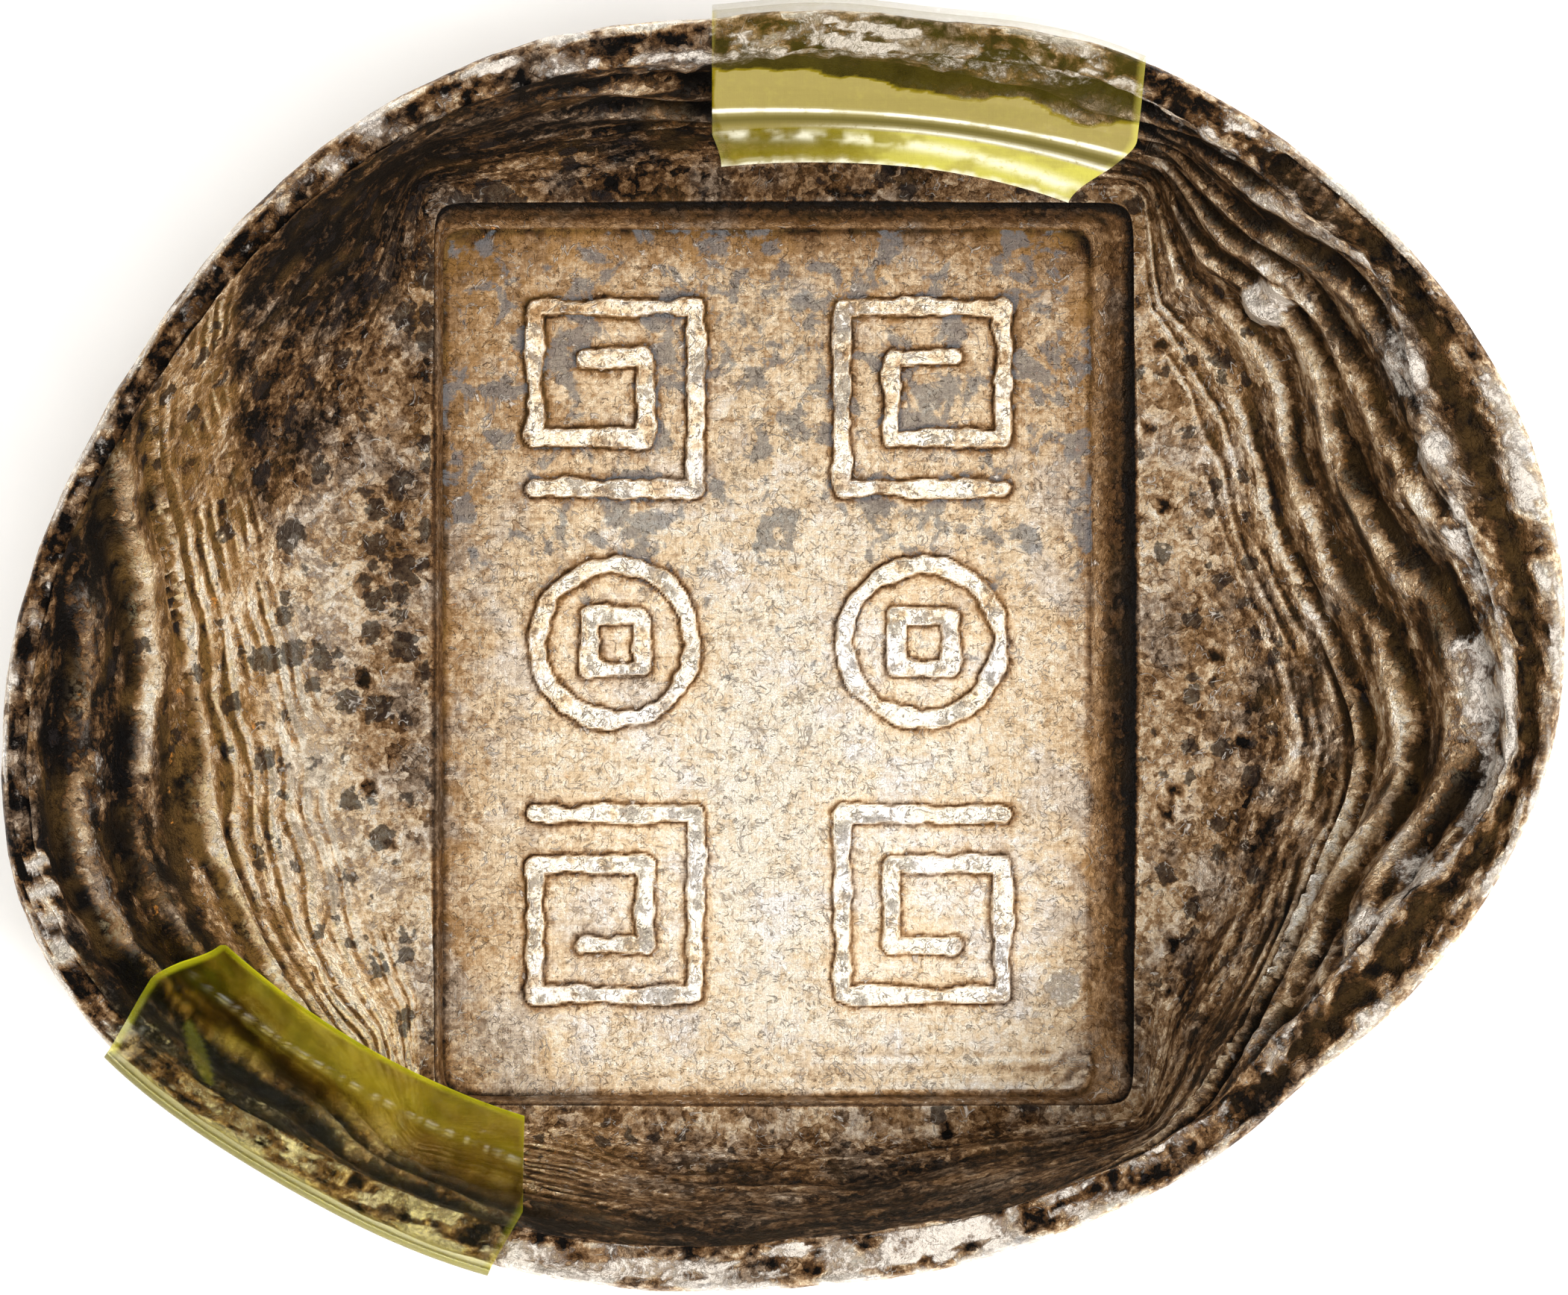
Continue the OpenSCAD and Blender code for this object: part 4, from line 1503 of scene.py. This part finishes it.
@dataclass(frozen=True)
class TarnishedSilver:
    """Finish of the casting: warm tarnished silver with slate spots, stains and crust, and painted highlights
    and glints on its gilded folds.
    """

    tones: Stops = (
        (0.0, (255, 246, 228)),
        (0.25, (226, 202, 168)),
        (0.5, (152, 120, 86)),
        (0.75, (84, 57, 32)),
        (1.0, (7, 4, 2)),
    )
    cool_tones: Stops = (
        (0.0, (255, 250, 244)),
        (0.25, (216, 200, 180)),
        (0.5, (148, 128, 108)),
        (0.75, (78, 61, 46)),
        (1.0, (6, 4, 3)),
    )
    gold: Rgb = (196, 146, 76)
    # Tone of the painted gold highlights on gilded fold crests.
    highlight_gold: Rgb = (255, 232, 178)
    slate: Rgb = (104, 108, 112)
    soot: Rgb = (30, 25, 24)
    crust: Rgb = (226, 216, 204)
    ash: Rgb = (146, 130, 118)
    # Tone of the painted frost-like highlights on fold crests.
    crest_highlight_tone: Rgb = (172, 156, 142)
    # Tone of the painted orange glints.
    ember: Rgb = (214, 140, 62)
    umber: Rgb = (70, 48, 32)
    shine: float = 0.12
    relief_depth: float = 0.0004
    relief_strength: float = 0.85

    def material(self, effects: SharedEffects) -> bpy.types.Material:
        """Make the finish.

        Args:
            effects: Shared effects.

        Returns:
            The material.
        """
        finish, sheet = new_finish("tarnished_silver")
        place = sheet.millimetres()
        grains = sheet.group(effects.grain, Place=place, Frequency=1.0)
        brushed = sheet.attribute("brushed")
        lines = sheet.times(sheet.group(effects.scratches, Place=place, Frequency=1.6)["Lines"], brushed)
        mottle = sheet.attribute("mottle")
        flakes = sheet.group(effects.flakes, Place=place, Frequency=2.0)
        chips = sheet.times(flakes["Tone"], mottle)
        gaps = sheet.times(flakes["Gaps"], mottle)
        ripple = sheet.attribute("ripple")
        folds = sheet.group(effects.folds, Place=place, Flow=sheet.attribute("flow"), Amount=ripple)
        uneven = sheet.weigh(0.0, (grains["Broad"], 0.4), (grains["Middle"], 0.4), (grains["Fine"], 0.8))
        tarnish = sheet.attribute("tarnish")
        # Fold valleys are made darker, partly tarnish and partly painted shade; fold crests and the slopes
        # rising to them are made lighter as painted highlight.
        tone = sheet.weigh(
            tarnish,
            (sheet.times(uneven, mottle), 1.0), (grains["Fine"], 0.3), (lines, 0.26), (chips, 0.34),
            (gaps, 0.14), (folds["Valley"], 0.3), (folds["Crest"], -0.24), (folds["Height"], -0.14),
        )
        colour = self.metal(sheet, place, tone, grains, folds["Crest"])
        gild = sheet.attribute("gild")
        # Painted glints: orange specks over the gilded parts.
        glints = sheet.group(effects.speckle, Place=place, Frequency=1.5, Amount=0.5, Softness=0.06)["Mask"]
        colour = sheet.stain(colour, sheet.times(glints, sheet.ease(gild, 0.1, 0.5)), 0.6, self.ember)
        slate = sheet.attribute("slate")
        spots = sheet.group(effects.speckle, Place=place, Frequency=0.75, Amount=slate, Softness=0.07)["Mask"]
        colour = sheet.stain(colour, sheet.times(spots, brushed), 0.66, self.slate)
        bare = sheet.times(slate, sheet.math("SUBTRACT", 1.0, brushed))
        dots = sheet.group(effects.dots, Place=place, Frequency=0.9, Amount=bare)["Mask"]
        colour = sheet.stain(colour, dots, 0.78, self.soot)
        specks = sheet.group(effects.speckle, Place=place, Frequency=1.7, Amount=0.24, Softness=0.04)["Mask"]
        colour = sheet.stain(colour, sheet.times(specks, mottle), 0.7, self.soot)
        fibres = sheet.group(effects.fibres, Place=place, Frequency=0.95)["Mask"]
        wrinkles = sheet.group(effects.fibres, Place=place, Frequency=1.6)["Mask"]
        colour = sheet.stain(colour, wrinkles, 0.45, self.umber)
        colour = sheet.stain(colour, sheet.times(fibres, sheet.ease(tarnish, 0.85, 0.45)), 0.75, self.crust)
        crust = sheet.attribute("crust")
        ragged = sheet.weigh(crust, (grains["Middle"], 1.2), (grains["Fine"], 0.8))
        pale = sheet.times(sheet.ease(ragged, 0.3, 0.74), sheet.ease(crust, 0.02, 0.2))
        thick = sheet.ease(sheet.weigh(ragged, (chips, 0.5)), 0.3, 0.85)
        crusty = sheet.blend(thick, linear(*self.ash), linear(*self.crust))
        worn = sheet.within(tone, 0.0, 1.0)
        relief = sheet.weigh(
            sheet.times(sheet.weigh(grains["Fine"], (grains["Middle"], 0.6)), mottle),
            (lines, 0.3), (dots, -0.25), (specks, -0.3), (pale, 0.4), (fibres, 0.35), (wrinkles, -0.3),
            (chips, 0.25), (gaps, -0.2), (folds["Crest"], 0.25),
        )
        sheet.close({
            "Base Color": sheet.blend(sheet.times(pale, 0.9), colour, crusty),
            "Specular IOR Level": self.shine,
            "Metallic": sheet.weigh(0.75, (worn, -0.5), (pale, -0.25)),
            "Roughness": sheet.weigh(0.38, (worn, 0.2), (grains["Fine"], 0.4)),
            "Normal": sheet.bump(relief, self.relief_depth, self.relief_strength),
        })
        return finish

    def metal(
        self, sheet: NodeSheet, place: Socket, tone: Socket, grains: bpy.types.NodeOutputs, crest: Socket
    ) -> Socket:
        """Colour of the bare metal, gilded in places, with painted highlights of gold and pale grey along the
        crests of its folds.

        Args:
            sheet: Sheet of the finish.
            place: Place in millimetres.
            tone: How tarnished the metal is.
            grains: Unevenness of the surface.
            crest: Share of the folds' crests.

        Returns:
            The colour.
        """
        gild = sheet.attribute("gild")
        cool = sheet.weigh(sheet.noise(place, 0.32, 4.0, 0.7), (gild, -0.25))
        warm = sheet.ramp(tone, self.tones)
        colour = sheet.blend(sheet.ease(cool, -0.06, 0.12), warm, sheet.ramp(tone, self.cool_tones))
        golden = sheet.times(gild, sheet.ease(grains["Middle"], -0.14, 0.1), clamp=True)
        colour = sheet.stain(colour, golden, 0.24, self.gold)
        # Painted highlight: gold lines on the crests of gilded folds.
        gold_crest_highlight = sheet.times(sheet.times(gild, crest, clamp=True), sheet.ease(grains["Fine"], -0.06, 0.12))
        colour = sheet.blend(gold_crest_highlight, colour, linear(*self.highlight_gold))
        # Painted highlight: frost-like pale grey lines on the fold crests.
        crest_highlight = sheet.times(crest, sheet.ease(grains["Middle"], -0.1, 0.12), clamp=True)
        crest_highlight = sheet.times(crest_highlight, sheet.ease(grains["Fine"], -0.12, 0.1))
        return sheet.stain(colour, crest_highlight, 0.7, self.crest_highlight_tone)


@dataclass(frozen=True)
class ClearPlastic:
    """Finish of the clips: yellowish clear sheet, with painted highlights along its creases, painted glowing
    light at its edges and painted shade in dark strips.
    """

    name: str
    clarity: float
    film: Rgb = (214, 202, 52)
    band: Rgb = (146, 132, 74)
    # Tone of the painted glowing yellow on the edges and flange.
    painted_light: Rgb = (186, 180, 80)
    # Tone of the painted highlights and of the frosted whitening.
    highlight_and_frost_white: Rgb = (244, 242, 226)
    # Tone of the painted glowing light that the clear clip gives off at its edges.
    edge: Rgb = (206, 206, 40)
    # Tone of the painted shade.
    painted_shade: Rgb = (92, 83, 40)
    shine: float = 0.08
    bending: float = 1.12
    # Strength of that painted light, given off by the clear clip only.
    edge_light: float = 0.5

    def material(self, effects: SharedEffects) -> bpy.types.Material:
        """Make the finish.

        Args:
            effects: Shared effects.

        Returns:
            The material.
        """
        finish, sheet = new_finish(self.name)
        place = sheet.millimetres()
        grains = sheet.group(effects.grain, Place=place, Frequency=0.8)
        dust = sheet.group(effects.speckle, Place=place, Frequency=2.6, Amount=0.25, Softness=0.06)["Mask"]
        lines = sheet.group(effects.scratches, Place=place, Frequency=0.9)["Lines"]
        veil, painted_glow, painted_shade = (sheet.attribute(name) for name in ("veil", "painted_glow", "painted_shade"))
        # Painted highlight of the creases, broken up by grain; it whitens both the colour and the light given
        # off.
        crease = sheet.times(sheet.attribute("fold"), sheet.ease(grains["Fine"], -0.3, 0.0), clamp=True)
        colour = sheet.blend(sheet.ease(veil, 0.62, 0.85), linear(*self.film), linear(*self.band))
        # Painted glowing yellow over the edges and the flange.
        colour = sheet.blend(sheet.weigh(painted_glow, (grains["Fine"], 0.5)), colour, linear(*self.painted_light))
        # Painted shade: dark olive strips.
        colour = sheet.blend(painted_shade, colour, linear(*self.painted_shade))
        # Painted glowing light given off at the edges and flange, though the sheet is no lamp.
        lit = sheet.times(painted_glow, sheet.ease(grains["Middle"], -0.4, 0.1), clamp=True)
        lit_colour = sheet.blend(lit, linear(0, 0, 0), linear(*self.edge))
        opaque = sheet.weigh(
            0.0, (veil, 0.8), (painted_glow, 0.56), (crease, 0.7), (painted_shade, 0.2), (dust, 0.08), (grains["Middle"], 0.1)
        )
        sheet.close({
            "Base Color": sheet.blend(crease, colour, linear(*self.highlight_and_frost_white)),
            "Specular IOR Level": self.shine,
            "Transmission Weight": self.clarity,
            "IOR": self.bending,
            # The clear clip gives off this painted light.
            "Emission Strength": self.edge_light * self.clarity,
            "Emission Color": sheet.blend(crease, lit_colour, linear(*self.highlight_and_frost_white)),
            "Alpha": sheet.within(opaque, 0.03, 1.0),
            "Roughness": sheet.weigh(0.2 - 0.16 * self.clarity, (dust, 0.3), (lines, 0.12)),
            "Normal": sheet.bump(sheet.weigh(lines, (grains["Fine"], 0.5)), 0.0001, 0.3),
        })
        return finish


@dataclass(frozen=True)
class PaleCard:
    """Finish of the studio floor."""

    light: Rgb = (255, 255, 254)
    shade: Rgb = (250, 250, 249)
    roughness: float = 0.85

    def material(self, effects: SharedEffects) -> bpy.types.Material:
        """Make the finish.

        Args:
            effects: Shared effects.

        Returns:
            The material.
        """
        finish, sheet = new_finish("pale_card")
        grains = sheet.group(effects.grain, Place=sheet.millimetres(), Frequency=0.4)
        share = sheet.ease(grains["Broad"], -0.3, 0.3)
        colour = sheet.blend(share, linear(*self.shade), linear(*self.light))
        sheet.close({"Base Color": colour, "Roughness": self.roughness})
        return finish


def place_piece(
    name: str, shape: bmesh.types.BMesh, finish: bpy.types.Material, node: str
) -> bpy.types.Object:
    """Turn a finished shape into a piece that stands for a CAD node.

    Args:
        name: Name of the piece.
        shape: Its shape in metres, which is freed.
        finish: Its material.
        node: CAD node that it stands for, and body that it rides on.

    Returns:
        The piece.
    """
    mesh = bpy.data.meshes.new(name)
    shape.to_mesh(mesh)
    shape.free()
    mesh.materials.append(finish)
    piece = bpy.data.objects.new(name, mesh)
    bpy.context.scene.collection.objects.link(piece)
    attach(piece, node)
    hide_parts(node)
    triangles = sum(len(polygon.vertices) - 2 for polygon in mesh.polygons)
    LOG.info("%s: %d triangles, rides on %s", name, triangles, node)
    return piece


@dataclass(frozen=True)
class Softbox:
    """Square soft light that faces the ingot. Sizes are in metres, and its power in watts."""

    name: str
    place: tuple[float, float, float]
    size: float
    power: float

    def hang(self, target: Vector) -> None:
        """Hang the light so that it faces a target."""
        lamp = bpy.data.lights.new(self.name, "AREA")
        lamp.shape = "SQUARE"
        lamp.size = self.size
        lamp.energy = self.power
        light = bpy.data.objects.new(self.name, lamp)
        aim = target - Vector(self.place)
        facing = aim.to_track_quat("-Z", "Y").to_matrix().to_4x4()
        light.matrix_world = Matrix.Translation(self.place) @ facing
        bpy.context.scene.collection.objects.link(light)


@dataclass
class Studio:
    """Floor, lights and camera. Sizes are in metres."""

    floor_size: float = 1.6
    camera_height: float = 0.3796
    lens: float = 215.2
    sensor: float = 36.0
    nearest: float = 0.01
    target: tuple[float, float, float] = (0.0, 0.0, 0.01)
    softboxes: tuple[Softbox, ...] = (
        Softbox("overhead", (0.0, 0.0, 0.75), 0.5, 5.4),
        Softbox("key", (0.30, -0.14, 0.60), 0.24, 5.5),
    )
    surroundings: float = 0.4
    surroundings_tone: Rgb = (255, 252, 246)

    def build(self, effects: SharedEffects) -> None:
        """Set up the floor, the lights, the surroundings and the camera."""
        self.add_floor(PaleCard().material(effects))
        for softbox in self.softboxes:
            softbox.hang(Vector(self.target))
        self.add_surroundings()
        self.add_camera()
        bpy.context.scene.view_settings.view_transform = "Standard"

    def add_floor(self, finish: bpy.types.Material) -> None:
        """Lay the floor."""
        shape = bmesh.new()
        bmesh.ops.create_grid(shape, x_segments=1, y_segments=1, size=self.floor_size / 2.0)
        mesh = bpy.data.meshes.new("studio_floor")
        shape.to_mesh(mesh)
        shape.free()
        mesh.materials.append(finish)
        floor = bpy.data.objects.new("studio_floor", mesh)
        bpy.context.scene.collection.objects.link(floor)

    def add_surroundings(self) -> None:
        """Fill the surroundings with even light."""
        world = bpy.data.worlds.new("studio")
        world.use_nodes = True
        backdrop = world.node_tree.nodes["Background"]
        backdrop.inputs["Color"].default_value = linear(*self.surroundings_tone)
        backdrop.inputs["Strength"].default_value = self.surroundings
        bpy.context.scene.world = world

    def add_camera(self) -> None:
        """Hang the camera straight above the ingot."""
        eye = bpy.data.cameras.new("camera")
        eye.sensor_width = self.sensor
        eye.lens = self.lens
        eye.clip_start = self.nearest
        camera = bpy.data.objects.new("camera", eye)
        camera.location = (0.0, 0.0, self.camera_height)
        bpy.context.scene.collection.objects.link(camera)
        bpy.context.scene.camera = camera


def write_sizes() -> None:
    """Bring the scene's placements up to date."""
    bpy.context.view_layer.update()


def main() -> None:
    """Build the ingot, its clips and the studio."""
    logging.basicConfig(level=logging.INFO, format="%(name)s: %(message)s")
    effects = SharedEffects()
    casting = Casting()
    casting.build(TarnishedSilver().material(effects))
    milky = ClearPlastic("milky_plastic", 0.0, film=(128, 110, 0)).material(effects)
    clear = ClearPlastic("clear_plastic", 1.0, band=(206, 196, 40)).material(effects)
    RimClip("upper_clip", UPPER_CLIP_TURN, casting, ClipKind.MILKY).build(milky)
    lower = RimClip("lower_clip", LOWER_CLIP_TURN, casting, ClipKind.CLEAR, taper_left=1.6, taper_right=1.6)
    lower.build(clear)
    Studio().build(effects)
    write_sizes()


if __name__ == "__main__":
    main()
